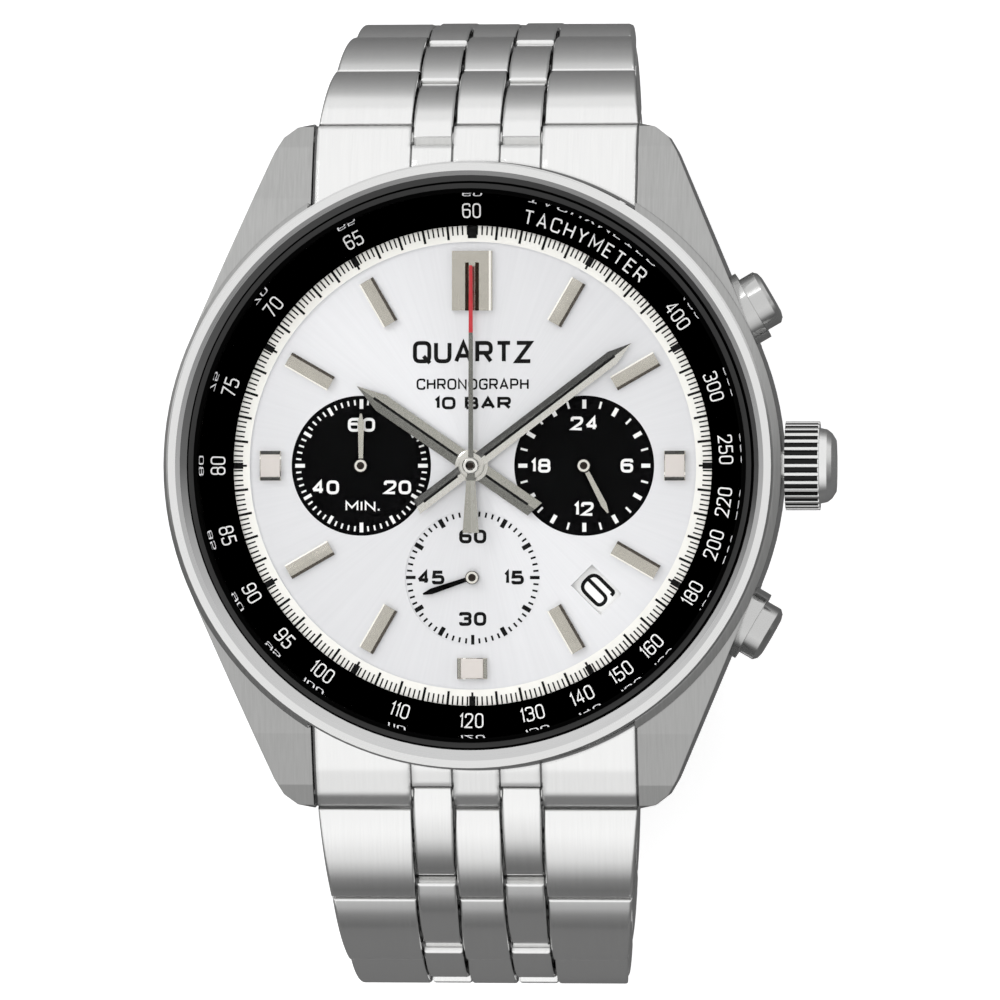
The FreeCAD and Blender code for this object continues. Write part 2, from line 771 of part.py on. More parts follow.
# ---------------------------------------------------------------- bracelet
def link_profile(start, end):
    """Side view of a link: crowned top, ends undercut below the hinge line."""
    undercut = -LINK_BOTTOM * UNDERCUT
    corners = [
        Vec(0, start, LINK_TOP),
        Vec(0, start, 0),
        Vec(0, start + undercut, LINK_BOTTOM),
        Vec(0, end - undercut, LINK_BOTTOM),
        Vec(0, end, 0),
        Vec(0, end, LINK_TOP),
    ]
    crest = Vec(0, (start + end) / 2, LINK_CROWN)
    top = Part.Arc(corners[-1], crest, corners[0]).toShape()
    return Part.Face(Part.Wire(Part.makePolygon(corners).Edges + [top]))


def link_piece(start, end, low, high):
    face = link_profile(start, end)
    face.translate(Vec(low, 0, 0))
    return face.extrude(Vec(high - low, 0, 0))


def softened(piece, radius=0.18):
    """Rounds the long edges and the end edges of a link's top face."""
    top = max(piece.Faces, key=lambda face: face.CenterOfMass.z)
    return piece.makeFillet(radius, top.Edges)


def row_solids(near_half, far_half):
    """One row in its own frame: along Y, top at +Z, its hinge at y = -PIVOT_BACK."""
    start, end = END_GAP, PITCH - END_GAP
    far_pin_y = PITCH - PIVOT_BACK
    fixing_y = 2.6
    outer = link_piece(start, end, OUTER_X, near_half + 1)
    taper = [(0, -1), (near_half, -1), (near_half, 0), (far_half, PITCH), (0, PITCH)]
    outer = softened(outer.common(prism_z(taper, -3, 3)))
    centre = softened(link_piece(start, end, -CENTER_HALF, CENTER_HALF))
    middle = softened(link_piece(start - NOSE, end - NOSE, *MIDDLE_X))
    pin_half = far_half - 0.5
    pin_z = 0.0
    far_pin = rod_x(PIN_R, -pin_half, pin_half, far_pin_y, pin_z)
    fixing_pin = rod_x(PIN_R, -pin_half, pin_half, fixing_y, -0.1)
    outer = outer.cut([far_pin, fixing_pin])
    centre = centre.cut([far_pin, fixing_pin])
    middle = middle.cut(fixing_pin)
    return outer, centre, middle, far_pin, fixing_pin


def placed(shape, pivot, slope, side):
    """Moves a shape from a row's frame to its place on the 12 or the 6 side."""
    moved = shifted(shape, 0, PIVOT_BACK)
    moved.rotate(ORIGIN, X_AXIS, -slope)
    moved.translate(Vec(0, *pivot))
    return moved if side > 0 else mirrored(moved, Y_AXIS)


def bracelet_side(name, slopes, side):
    """Writes one side's rows and returns the pivot at its far end."""
    pivot = PIVOT_START
    for index, slope in enumerate(slopes):
        near_half, far_half = HALF_WIDTHS[index : index + 2]
        outer, centre, middle, far_pin, fixing_pin = row_solids(near_half, far_half)
        held_r = SPRING_BAR_R if index == 0 else PIN_R
        bore = rod_x(held_r + FIT, -12, 12, -PIVOT_BACK, 0)
        middle = middle.cut(bore)
        pieces = [outer, mirrored(outer, X_AXIS), centre]
        pieces += [middle, mirrored(middle, X_AXIS), far_pin, fixing_pin]
        save(
            f"{name}_{index + 1}",
            *[placed(piece, pivot, slope, side) for piece in pieces],
        )
        angle = math.radians(slope)
        pivot = (
            pivot[0] + PITCH * math.cos(angle),
            pivot[1] - PITCH * math.sin(angle),
        )
    return side * pivot[0], pivot[1]


# ---------------------------------------------------------------- clasp
class ClaspArc:
    """The arc that the closed clasp follows, through the bracelet's two end pivots."""

    def __init__(self, pivot_12, pivot_6):
        chord = math.dist(pivot_12, pivot_6)
        self.along = (
            (pivot_12[0] - pivot_6[0]) / chord,
            (pivot_12[1] - pivot_6[1]) / chord,
        )
        self.up = (-self.along[1], self.along[0])
        rise = math.sqrt(CLASP_R**2 - (chord / 2) ** 2)
        middle = [(a + b) / 2 for a, b in zip(pivot_12, pivot_6)]
        self.centre = (middle[0] + rise * self.up[0], middle[1] + rise * self.up[1])
        self.end = math.degrees(math.asin(chord / 2 / CLASP_R))

    def at(self, degrees, radius):
        """A (y, z) point; degrees grow from the middle towards 12 o'clock."""
        angle = math.radians(degrees)
        side, down = radius * math.sin(angle), radius * math.cos(angle)
        y = self.centre[0] + side * self.along[0] - down * self.up[0]
        return y, self.centre[1] + side * self.along[1] - down * self.up[1]

    def shell(self, first, last, radii, low, high):
        """A curved plate between two angles and two radii, from x low to high."""
        inner, outer = radii
        middle = (first + last) / 2
        corner = {
            (angle, radius): Vec(low, *self.at(angle, radius))
            for angle in (first, middle, last)
            for radius in radii
        }
        edges = [
            Part.Arc(
                corner[first, inner], corner[middle, inner], corner[last, inner]
            ).toShape(),
            Part.makeLine(corner[last, inner], corner[last, outer]),
            Part.Arc(
                corner[last, outer], corner[middle, outer], corner[first, outer]
            ).toShape(),
            Part.makeLine(corner[first, outer], corner[first, inner]),
        ]
        return Part.Face(Part.Wire(edges)).extrude(Vec(high - low, 0, 0))

    def rod(self, radius, spot, low, high):
        return rod_x(radius, low, high, *self.at(*spot))

    def brick(self, degrees, radius, half_length, half_height, low, high):
        """A straight bar along the arc's tangent, for the push buttons."""
        y, z = self.at(degrees, radius)
        bar = block((low, -half_length, -half_height), (high, half_length, half_height))
        tilt = math.degrees(math.atan2(self.along[1], self.along[0])) + degrees
        bar.rotate(ORIGIN, X_AXIS, tilt)
        return shifted(bar, 0, y, z)


def clasp_cover(arc):
    first, last = -arc.end + 1.6, arc.end - 1.3
    cover = arc.shell(first, last, COVER_R, -COVER_HALF, COVER_HALF)
    inside = COVER_HALF - COVER_WALL
    wall_radii = (COVER_WALL_R, COVER_R[0])
    for low, high in ((inside, COVER_HALF), (-COVER_HALF, -inside)):
        cover = cover.fuse(arc.shell(first, last - 1.6, wall_radii, low, high))
    for low, high in (MIDDLE_X, (-MIDDLE_X[1], -MIDDLE_X[0])):
        tongue = arc.shell(last - 2, arc.end - 0.62, (59.5, COVER_R[0]), low, high)
        cover = cover.fuse(tongue)
    pin_half = COVER_HALF - 0.4
    hinge_pin = arc.rod(PIN_R, COVER_HINGE, -pin_half, pin_half)
    hole = arc.brick(0, 59.75, BUTTON_HALF[0] + 0.08, BUTTON_HALF[1] + 0.08, -12, 12)
    return cover.cut(hinge_pin).cut(hole), hinge_pin


def clasp_blade_inner(arc):
    """The blade hinged to the cover at its 6 o'clock end."""
    half, slot_half = 6.8, 4.7
    blade = arc.shell(COVER_HINGE[0], BLADE_HINGE[0], INNER_BLADE_R, -half, half)
    for spot, reach in ((COVER_HINGE, 7.9), (BLADE_HINGE, half)):
        gap = arc.rod(KNUCKLE_R + 0.15, spot, -slot_half, slot_half)
        blade = blade.cut(gap)
        for low, high in ((slot_half, reach), (-reach, -slot_half)):
            blade = blade.fuse(arc.rod(KNUCKLE_R, spot, low, high))
    for degrees in (-8, -2, 4):
        blade = blade.cut(arc.shell(degrees, degrees + 3.5, (58, 61), -2.6, 2.6))
    blade = blade.cut(arc.rod(PIN_R + FIT, COVER_HINGE, -9, 9))
    pin = arc.rod(PIN_R, BLADE_HINGE, -half + 0.2, half - 0.2)
    return blade.cut(pin), pin


def clasp_blade_outer(arc):
    """The blade that joins the last row of the 6 o'clock side."""
    half = MIDDLE_X[1]
    blade = arc.shell(-arc.end + 1.25, BLADE_HINGE[0], OUTER_BLADE_R, -half, half)
    blade = blade.cut(arc.rod(KNUCKLE_R - 0.2, BLADE_HINGE, -9, 9))
    blade = blade.fuse(arc.rod(KNUCKLE_R, BLADE_HINGE, -half, half))
    blade = blade.cut(arc.rod(PIN_R + FIT, BLADE_HINGE, -9, 9))
    end_spot = (-arc.end, CLASP_R)
    for low, high in (MIDDLE_X, (-MIDDLE_X[1], -MIDDLE_X[0])):
        blade = blade.fuse(arc.rod(0.88, end_spot, low, high))
        neck = arc.shell(-arc.end, -arc.end + 1.8, (58.6, 60.0), low, high)
        blade = blade.fuse(neck)
    return blade.cut(arc.rod(PIN_R + FIT, end_spot, -9, 9))


def clasp_button(arc):
    length, height = BUTTON_HALF
    face = arc.brick(0, 59.75, length, height, 7.5, 9.55)
    flange = arc.brick(0, 59.75, length + 0.4, height, 7.45, 7.85)
    return face.fuse(flange)


# ---------------------------------------------------------------- assembly
save("mid_case", mid_case())
save("bezel", bezel())
save("crystal", crystal())
save("crystal_gasket", ring(RING_SEAT_R, GASKET_R, *GASKET_Z))
save("case_back", case_back())
save("tachymeter_ring", tachymeter_ring())
save("dial", dial())
save("hour_markers", *hour_markers())

first_end_link = end_link()
save("end_link_12", first_end_link)
save("end_link_6", mirrored(first_end_link, Y_AXIS))
save("lug_spring_bars", spring_bar(), mirrored(spring_bar(), Y_AXIS))

save("main_plate", main_plate())
save("train_bridge", train_bridge())
save("circuit_board", circuit_board())
save("bridge_screws", *[bridge_screw(x, y) for x, y in pillar_points()])
save("stator", stator())
save("drive_coil", drive_coil())
save("battery", disc(BATTERY_R, *BATTERY_Z, *BATTERY_XY))
save("movement_holder", movement_holder())
save("date_disc", ring(*DATE_DISC_R, *DATE_DISC_Z))
going_train()
chronograph_train()
motion_works()

save("hour_hand", turned(centre_hand(HOUR_HAND, 8.45, 0.8, 1.1, (8.45, 8.72)), -HOUR_ANGLE))
save(
    "minute_hand",
    turned(centre_hand(MINUTE_HAND, 8.85, 0.45, 0.85, (8.85, 9.15)), -MINUTE_ANGLE),
)
save("chrono_seconds_hand", chrono_seconds_hand())
save("small_seconds_hand", sub_hand(3.5, 0.2, *SECONDS_AXIS, SECONDS_ANGLE))
save("chrono_minute_hand", sub_hand(3.5, 0.2, *MINUTES_AXIS, 0))
save("hand_24h", sub_hand(3.55, 0.2, *DAY_AXIS, ANGLE_24H))

save("crown", crown())
save("stem", stem())
save("setting_lever", setting_lever())
save("crown_tube", crown_tube())
save("pusher_tubes", *[turned(pusher_tube(), s * PUSHER_ANGLE) for s in (1, -1)])
save("pusher_upper", turned(pusher(), PUSHER_ANGLE))
save("pusher_lower", turned(pusher(), -PUSHER_ANGLE))

clasp_arc = ClaspArc(
    bracelet_side("link_12", ROWS_12, 1),
    bracelet_side("link_6", ROWS_6, -1),
)
save("clasp_cover", *clasp_cover(clasp_arc))
save("clasp_blade_inner", *clasp_blade_inner(clasp_arc))
save("clasp_blade_outer", clasp_blade_outer(clasp_arc))
button = clasp_button(clasp_arc)
save("clasp_button_right", button)
save("clasp_button_left", mirrored(button, X_AXIS))
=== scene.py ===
import math

import bpy
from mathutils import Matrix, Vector


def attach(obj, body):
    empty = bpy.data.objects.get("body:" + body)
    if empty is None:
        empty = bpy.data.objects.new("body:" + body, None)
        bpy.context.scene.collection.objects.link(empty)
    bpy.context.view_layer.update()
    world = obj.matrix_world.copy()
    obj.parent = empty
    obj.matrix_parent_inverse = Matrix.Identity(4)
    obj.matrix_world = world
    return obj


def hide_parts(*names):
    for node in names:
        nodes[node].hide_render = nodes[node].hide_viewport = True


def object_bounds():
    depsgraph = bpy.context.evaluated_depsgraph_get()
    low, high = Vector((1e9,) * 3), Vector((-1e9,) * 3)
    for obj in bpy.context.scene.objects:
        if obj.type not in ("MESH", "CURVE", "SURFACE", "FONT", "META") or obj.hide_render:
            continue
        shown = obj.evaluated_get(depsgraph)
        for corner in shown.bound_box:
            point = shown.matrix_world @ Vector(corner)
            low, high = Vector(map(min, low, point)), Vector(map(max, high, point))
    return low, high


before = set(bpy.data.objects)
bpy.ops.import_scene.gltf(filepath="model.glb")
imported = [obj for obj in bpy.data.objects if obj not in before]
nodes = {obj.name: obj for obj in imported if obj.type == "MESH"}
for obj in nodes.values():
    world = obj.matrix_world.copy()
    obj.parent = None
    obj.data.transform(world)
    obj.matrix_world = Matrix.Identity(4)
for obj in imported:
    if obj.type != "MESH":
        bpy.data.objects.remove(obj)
cad_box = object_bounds()

MM = 0.001

# Lengths are in millimetres, in the watch's own frame, unless a line says metres.
PRINT = 0.012  # thickness of printed marks
LIFT = 0.004  # gap between a printed mark and the face under it
TURN_STEPS = 48  # facets of a turned ring

# Places on the CAD parts that a material or a mark has to meet.
COLUMN_GAPS = (1.615, 4.395)  # |x| of the gaps between the bracelet's columns
LUG_FACE_X = 11.0
BEZEL_EDGE_R = 20.52
CHAMFER_R = 19.68
CRYSTAL_PRINT_R = 18.22
RING_WALL_R = 17.91
RECESS_R = 4.7
CROWN_AXIS_Z = 5.0
CROWN_FLUTE_R = 2.95
CROWN_RIM_X = 23.12
ARBOR_END_Z = 7.9
DIAL_TOP = 7.8
TRACK_TOP = 8.0
RECESS = 7.68
DATE_DISC_TOP = 7.3
SUB = {"minutes": (-7.5, 0.0), "day": (7.5, 0.0), "seconds": (0.0, -7.5)}


# ---------------------------------------------------------------- camera
CAMERA_TARGET = (2.1, -2.3, 11.0)
CAMERA_TILT = 4.6  # degrees
CAMERA_DISTANCE = 550.0


def add_camera():
    """The watch is seen almost square on, from a little towards 3 o'clock."""
    tilt = math.radians(CAMERA_TILT)
    away = Vector((math.sin(tilt), 0, math.cos(tilt)))
    data = bpy.data.cameras.new("camera")
    data.sensor_width = 36
    data.lens = 297
    data.clip_start = 0.01
    camera = bpy.data.objects.new("camera", data)
    camera.location = (Vector(CAMERA_TARGET) + away * CAMERA_DISTANCE) * MM
    camera.rotation_euler = (0, tilt, 0)
    bpy.context.scene.collection.objects.link(camera)
    bpy.context.scene.camera = camera


add_camera()


# ---------------------------------------------------------------- materials
class Nodes:
    """A material with one Principled shader, and short calls to wire nodes into it."""

    def __init__(self, name, color, metallic=0.0, roughness=0.5, **values):
        self.material = bpy.data.materials.new(name)
        self.material.use_nodes = True
        self.tree = self.material.node_tree
        self.shader = self.tree.nodes["Principled BSDF"]
        self.shader.inputs["Base Color"].default_value = (*color, 1)
        self.shader.inputs["Metallic"].default_value = metallic
        self.shader.inputs["Roughness"].default_value = roughness
        for key, value in values.items():
            socket = self.shader.inputs[key.replace("_", " ")]
            socket.default_value = value

    def node(self, kind, links=(), **settings):
        made = self.tree.nodes.new(kind)
        for key, value in settings.items():
            setattr(made, key, value)
        for name, value in dict(links).items():
            socket = made.inputs[name]
            if isinstance(value, bpy.types.NodeSocket):
                self.tree.links.new(value, socket)
            else:
                socket.default_value = value
        return made

    def place(self, scale=(1, 1, 1)):
        """Texture coordinates of the object, in metres, times a scale."""
        coords = self.node("ShaderNodeTexCoord")
        mapping = self.node(
            "ShaderNodeMapping", {"Vector": coords.outputs["Object"], "Scale": scale}
        )
        return mapping.outputs[0]

    def noise(self, scale, detail=2.0, vector=None):
        vector = vector or self.place()
        links = {"Vector": vector, "Scale": scale, "Detail": detail}
        return self.node("ShaderNodeTexNoise", links).outputs["Fac"]

    def span(self, value, low, high, start=0.0, end=1.0):
        """value from start to end becomes low to high, and is held beyond them."""
        links = {0: value, 1: start, 2: end, 3: low, 4: high}
        return self.node("ShaderNodeMapRange", links).outputs[0]

    def math(self, operation, a, b=0.0):
        links = {0: a, 1: b}
        return self.node("ShaderNodeMath", links, operation=operation).outputs[0]

    def mixed(self, factor, a, b):
        """A colour between a and b."""
        made = self.node("ShaderNodeMix", data_type="RGBA")
        for index, value in ((0, factor), (6, a), (7, b)):
            if isinstance(value, bpy.types.NodeSocket):
                self.tree.links.new(value, made.inputs[index])
            elif index == 0:
                made.inputs[index].default_value = value
            else:
                made.inputs[index].default_value = (*value, 1)
        return made.outputs[2]

    def inside(self, radius, limit):
        """1 where a radius in metres is less than a limit in millimetres."""
        return self.math("LESS_THAN", radius, limit * MM)

    def beyond(self, radius, limit):
        """1 where a length in metres is more than a limit in millimetres."""
        return self.math("GREATER_THAN", radius, limit * MM)

    def wire(self, socket, value):
        self.tree.links.new(value, self.shader.inputs[socket])

    def bump(self, height, distance, strength, normal=None):
        """distance is in millimetres."""
        links = {"Height": height, "Distance": distance * MM, "Strength": strength}
        if normal:
            links["Normal"] = normal
        made = self.node("ShaderNodeBump", links)
        self.wire("Normal", made.outputs[0])

    def xyz(self):
        """The object's own x, y and z, in metres."""
        coords = self.node("ShaderNodeTexCoord")
        return self.node("ShaderNodeSeparateXYZ", {0: coords.outputs["Object"]}).outputs

    def facing_up(self, start, end):
        """0 to 1 as the surface's normal turns towards +Z."""
        geometry = self.node("ShaderNodeNewGeometry")
        parts = self.node("ShaderNodeSeparateXYZ", {0: geometry.outputs["Normal"]})
        return self.span(parts.outputs[2], 0.0, 1.0, start, end)

    def blend(self, factor, a, b):
        """A number between a and b."""
        links = {0: factor, 2: a, 3: b}
        return self.node("ShaderNodeMix", links, data_type="FLOAT").outputs[0]

    def turned(self):
        """Brushing that runs in circles about Z."""
        tangent = self.node("ShaderNodeTangent", direction_type="RADIAL", axis="Z")
        self.wire("Tangent", tangent.outputs[0])

    def surface(self, factor, a, b):
        """The material shows shader a, then b as factor goes from 0 to 1."""
        mix = self.node("ShaderNodeMixShader", {0: factor, 1: a, 2: b})
        output = self.tree.nodes["Material Output"]
        self.tree.links.new(mix.outputs[0], output.inputs["Surface"])

    def length(self, a, b):
        """The length of the vector (a, b)."""
        squares = [self.math("MULTIPLY", v, v) for v in (a, b)]
        return self.math("SQRT", self.math("ADD", *squares))

    def near(self, value, centre, reach):
        """1 where value, in metres, is within reach of centre, both in millimetres."""
        away = self.math("ABSOLUTE", self.math("SUBTRACT", value, centre * MM))
        return self.math("LESS_THAN", away, reach * MM)

    def rounded(self, radius):
        """Normals that round every edge by a radius in millimetres."""
        links = {"Radius": radius * MM}
        return self.node("ShaderNodeBevel", links, samples=4).outputs[0]


def circle_coordinates(look, radial, around):
    """A texture vector of radius (per millimetre) and angle (per turn) about Z."""
    x, y, _ = look.xyz()
    radius = look.length(x, y)
    angle = look.math("ARCTAN2", y, x)
    links = {
        "X": look.math("MULTIPLY", radius, radial / MM),
        "Y": look.math("MULTIPLY", look.math("SINE", angle), around),
        "Z": look.math("MULTIPLY", look.math("COSINE", angle), around),
    }
    return look.node("ShaderNodeCombineXYZ", links).outputs[0]


def steel(name, color, roughness, lines=None, grain=0.0, smudge=0.05, edge=0.0):
    """Metal with fine grinding lines; lines is the texture stretch they follow."""
    look = Nodes(name, color, 1.0, roughness)
    cloud = look.noise(260.0, detail=3.0)
    normal = look.rounded(edge) if edge else None
    if lines:
        fine = look.noise(1.0, vector=look.place(lines), detail=3.0)
        shade = look.math("ADD", look.span(cloud, -smudge, smudge), roughness)
        shade = look.math("ADD", shade, look.span(fine, -grain, grain))
        look.wire("Roughness", shade)
        tone = look.mixed(
            look.span(fine, 0.0, 1.0, 0.3, 0.7),
            [c * 0.97 for c in color],
            [min(1.0, c * 1.03) for c in color],
        )
        look.wire("Base Color", tone)
        look.bump(fine, 0.001, 0.3, normal)
    else:
        look.wire("Roughness", look.span(cloud, roughness - smudge, roughness + smudge))
        if normal:
            look.wire("Normal", normal)
    return look.material


def turned_steel(name, color, roughness, rings, anisotropic, dark_above=None):
    """Metal turned about the watch's axis, with its arbor ends dark above a height."""
    look = Nodes(name, color, 1.0, roughness, Anisotropic=anisotropic)
    fine = look.noise(1.0, vector=circle_coordinates(look, rings, 1.5), detail=3.0)
    look.turned()
    look.wire("Roughness", look.span(fine, roughness - 0.06, roughness + 0.06))
    look.bump(fine, 0.003, 0.3)
    if dark_above:
        end = look.beyond(look.xyz()[2], dark_above)
        look.wire("Base Color", look.mixed(end, color, (0.03, 0.024, 0.02)))
    return look.material


def bracelet_steel(name, edge, outline=False):
    """Satin links with softly rounded edges; painted shade darkens the gaps between their
    columns, and with outline, painted shadow lines run along the bezel and the lug faces.
    """
    dull, bright, gap_shade_tone = (0.86, 0.86, 0.855), (0.89, 0.89, 0.885), (0.24, 0.24, 0.24)
    look = Nodes(name, bright, 1.0, 0.16)
    fine = look.noise(1.0, vector=look.place(ALONG), detail=3.0)
    cloud = look.noise(260.0, detail=3.0)
    shade = look.math("ADD", look.span(fine, 0.14, 0.18), look.span(cloud, -0.03, 0.03))
    look.wire("Roughness", shade)
    x, y, _ = look.xyz()
    across = look.math("ABSOLUTE", x)
    # painted shade: dark bands over the gaps between the columns
    gap = look.math("MAXIMUM", *[look.near(across, place, 0.07) for place in COLUMN_GAPS])
    # painted shadow lines where the end link meets the bezel and the lugs
    if outline:
        bezel = look.inside(look.length(x, y), BEZEL_EDGE_R)
        rim = look.math("MAXIMUM", bezel, look.near(across, LUG_FACE_X, 0.2))
        gap = look.math("MAXIMUM", gap, rim)
    tone = look.mixed(look.span(fine, 0.0, 1.0, 0.3, 0.7), dull, bright)
    look.wire("Base Color", look.mixed(gap, tone, gap_shade_tone))
    look.bump(fine, 0.0006, 0.2, look.rounded(edge))
    return look.material


def crown_steel():
    """Bright steel, with painted shade: near-black in the flutes of the crown's rim."""
    color = (0.8, 0.8, 0.795)
    look = Nodes("crown_steel", color, 1.0, 0.22)
    x, y, z = look.xyz()
    radius = look.length(y, look.math("SUBTRACT", z, CROWN_AXIS_Z * MM))
    groove = look.inside(radius, CROWN_FLUTE_R)
    rim = look.inside(x, CROWN_RIM_X)
    cloud = look.noise(260.0, detail=3.0)
    look.wire("Roughness", look.span(cloud, 0.16, 0.26))
    # painted shade in the flutes: their floors are coloured near-black
    painted_shade = look.math("MULTIPLY", groove, rim)
    look.wire("Base Color", look.mixed(painted_shade, color, (0.02, 0.02, 0.02)))
    look.wire("Normal", look.rounded(0.05))
    return look.material


def marker_steel():
    """Beige metal markers: painted highlight on the left edge and painted shade on the right one
    of each baton, a painted highlight along one outer edge at 12, and dark slots at 12.
    """
    dull, beige = (0.43, 0.41, 0.36), (0.47, 0.45, 0.40)
    shade_edge_tone, highlight_edge_tone = (0.09, 0.08, 0.068), (0.9, 0.88, 0.82)
    slot_tone = (0.035, 0.022, 0.015)
    look = Nodes("marker_steel", beige, 1.0, 0.16)
    x, y, _ = look.xyz()
    step = math.pi / 6
    angle = look.math("ARCTAN2", x, y)
    hour = look.math("MULTIPLY", look.math("ROUND", look.math("DIVIDE", angle, step)), step)
    radius = look.length(x, y)
    off_hour = look.math("SINE", look.math("SUBTRACT", angle, hour))
    across = look.math("MULTIPLY", radius, off_hour)
    side = look.math("MULTIPLY", across, look.math("SIGN", look.math("COSINE", hour)))
    baton = look.math("GREATER_THAN", look.math("ABSOLUTE", hour), 0.1)
    noon = look.math("SUBTRACT", 1.0, baton)
    # painted shade on each baton's right edge, painted highlight on its left edge
    painted_shade = look.math("MULTIPLY", baton, look.near(side, 0.53, 0.19))
    bright = look.math("MULTIPLY", baton, look.near(side, -0.53, 0.1))
    slot = look.near(look.math("ABSOLUTE", across), 0.34, 0.125)
    slot = look.math("MULTIPLY", look.math("MULTIPLY", slot, look.inside(radius, 13.62)), noon)
    # painted highlight along the outer edge of the 12 o'clock marker
    edge = look.math("MULTIPLY", look.near(across, 1.2, 0.07), noon)
    cloud = look.noise(1500.0, detail=2.0)
    look.wire("Roughness", look.span(cloud, 0.12, 0.2))
    tone = look.mixed(cloud, dull, beige)
    tone = look.mixed(painted_shade, tone, shade_edge_tone)
    tone = look.mixed(look.math("MAXIMUM", bright, edge), tone, highlight_edge_tone)
    look.wire("Base Color", look.mixed(slot, tone, slot_tone))
    return look.material


def small_hand(name, centre, color):
    """A sub-dial hand, with a bright ring around the dark end of its arbor."""
    look = Nodes(name, color, 1.0, 0.18)
    parts = look.xyz()
    away = [look.math("SUBTRACT", parts[k], centre[k] * MM) for k in (0, 1)]
    radius = look.length(*away)
    ring = look.near(radius, 0.33, 0.07)
    hub = look.inside(radius, 0.5)
    tone = look.mixed(hub, color, (0.06, 0.055, 0.05))
    look.wire("Base Color", look.mixed(ring, tone, (0.72, 0.70, 0.64)))
    look.wire("Roughness", look.span(look.noise(1200.0), 0.12, 0.24))
    return look.material


def case_steel():
    """Brushed lugs and tops, polished where the case turns away from the dial side."""
    dull, bright, side = (0.385, 0.385, 0.38), (0.43, 0.43, 0.425), (0.46, 0.46, 0.455)
    look = Nodes("case_steel", side, 1.0, 0.3)
    top = look.facing_up(0.55, 0.75)
    fine = look.noise(1.0, vector=look.place((9000, 500, 500)), detail=3.0)
    cloud = look.noise(240.0, detail=3.0)
    satin = look.math("ADD", look.span(fine, 0.24, 0.4), look.span(cloud, -0.04, 0.04))
    look.wire("Roughness", look.blend(top, look.span(cloud, 0.08, 0.16), satin))
    tone = look.mixed(look.span(fine, 0.0, 1.0, 0.3, 0.7), dull, bright)
    look.wire("Base Color", look.mixed(top, side, tone))
    look.bump(look.math("MULTIPLY", fine, top), 0.002, 0.3, look.rounded(0.08))
    return look.material


def bezel_steel():
    """A circular satin ring on top, polished chamfers and wall; painted light and shade on the
    chamfer, light towards 6 o'clock and dark towards 12.
    """
    satin, chamfer_lit_6, chamfer_shaded_12 = (0.74, 0.74, 0.735), (0.6,) * 3, (0.24,) * 3
    look = Nodes("bezel_steel", satin, 1.0, 0.3, Anisotropic=0.4)
    top = look.facing_up(0.9, 0.98)
    fine = look.noise(1.0, vector=circle_coordinates(look, 14.0, 1.5), detail=3.0)
    look.wire("Roughness", look.blend(top, 0.07, look.span(fine, 0.22, 0.36)))
    x, y, _ = look.xyz()
    chamfer = look.inside(look.length(x, y), CHAMFER_R)
    # painted light and shade: the chamfer's colour runs from light at 6 o'clock to dark at 12
    share = look.span(y, 0.0, 1.0, -18 * MM, 10 * MM)
    slope = look.mixed(share, chamfer_lit_6, chamfer_shaded_12)
    look.wire("Base Color", look.mixed(chamfer, satin, slope))
    look.turned()
    look.bump(look.math("MULTIPLY", fine, top), 0.003, 0.3)
    return look.material


def paint(name, color, roughness, texture=0.0, **values):
    """Lacquer, plastic or ink; texture is the depth of its grain in millimetres."""
    look = Nodes(name, color, 0.0, roughness, **values)
    cloud = look.noise(900.0, detail=3.0)
    look.wire("Roughness", look.span(cloud, roughness - 0.06, roughness + 0.06))
    tone = look.mixed(cloud, [c * 0.94 for c in color], [min(1, c * 1.05) for c in color])
    look.wire("Base Color", tone)
    if texture:
        look.bump(look.noise(4000.0, detail=2.0), texture, 0.4)
    return look.material


def dial_silver():
    """Finely brushed silver, lacquered, with black recesses for two sub-dials."""
    dull, bright = (0.675, 0.677, 0.69), (0.70, 0.702, 0.715)
    black_tone = (0.0016, 0.0016, 0.0018)
    look = Nodes("dial_silver", bright, 0.75, 0.36, Anisotropic=0.6)
    look.shader.inputs["Specular IOR Level"].default_value = 0.03
    look.shader.inputs["Anisotropic Rotation"].default_value = 0.25
    x, y, _ = look.xyz()
    rays = look.noise(1.0, vector=circle_coordinates(look, 0.12, 60.0), detail=4.0)
    look.turned()
    silver = look.mixed(look.span(rays, 0.0, 1.0, 0.3, 0.7), dull, bright)
    recesses = []
    for centre_x, _ in (SUB["minutes"], SUB["day"]):
        distance = look.length(look.math("SUBTRACT", x, centre_x * MM), y)
        recesses.append(look.inside(distance, RECESS_R))
    black = look.math("MAXIMUM", *recesses)
    look.wire("Base Color", look.mixed(black, silver, black_tone))
    look.wire("Metallic", look.span(black, 0.75, 0.0))
    rough = look.math("ADD", look.span(rays, 0.34, 0.38), look.span(black, 0.0, 0.1))
    look.wire("Roughness", rough)
    look.bump(look.math("MULTIPLY", rays, look.span(black, 1.0, 0.0)), 0.0003, 0.1)
    return look.material


def ring_black():
    """A deep black cone, with a mirror-polished wall standing outside it."""
    black, mirror = (0, 0, 0), (0.93, 0.93, 0.96)
    look = Nodes("ring_black", black, 0.0, 0.15)
    look.shader.inputs["Specular IOR Level"].default_value = 0.0
    x, y, _ = look.xyz()
    wall = look.beyond(look.length(x, y), RING_WALL_R)
    look.wire("Metallic", wall)
    look.wire("Base Color", look.mixed(wall, black, mirror))
    look.wire("Roughness", look.span(look.noise(500.0), 0.03, 0.06))
    return look.material


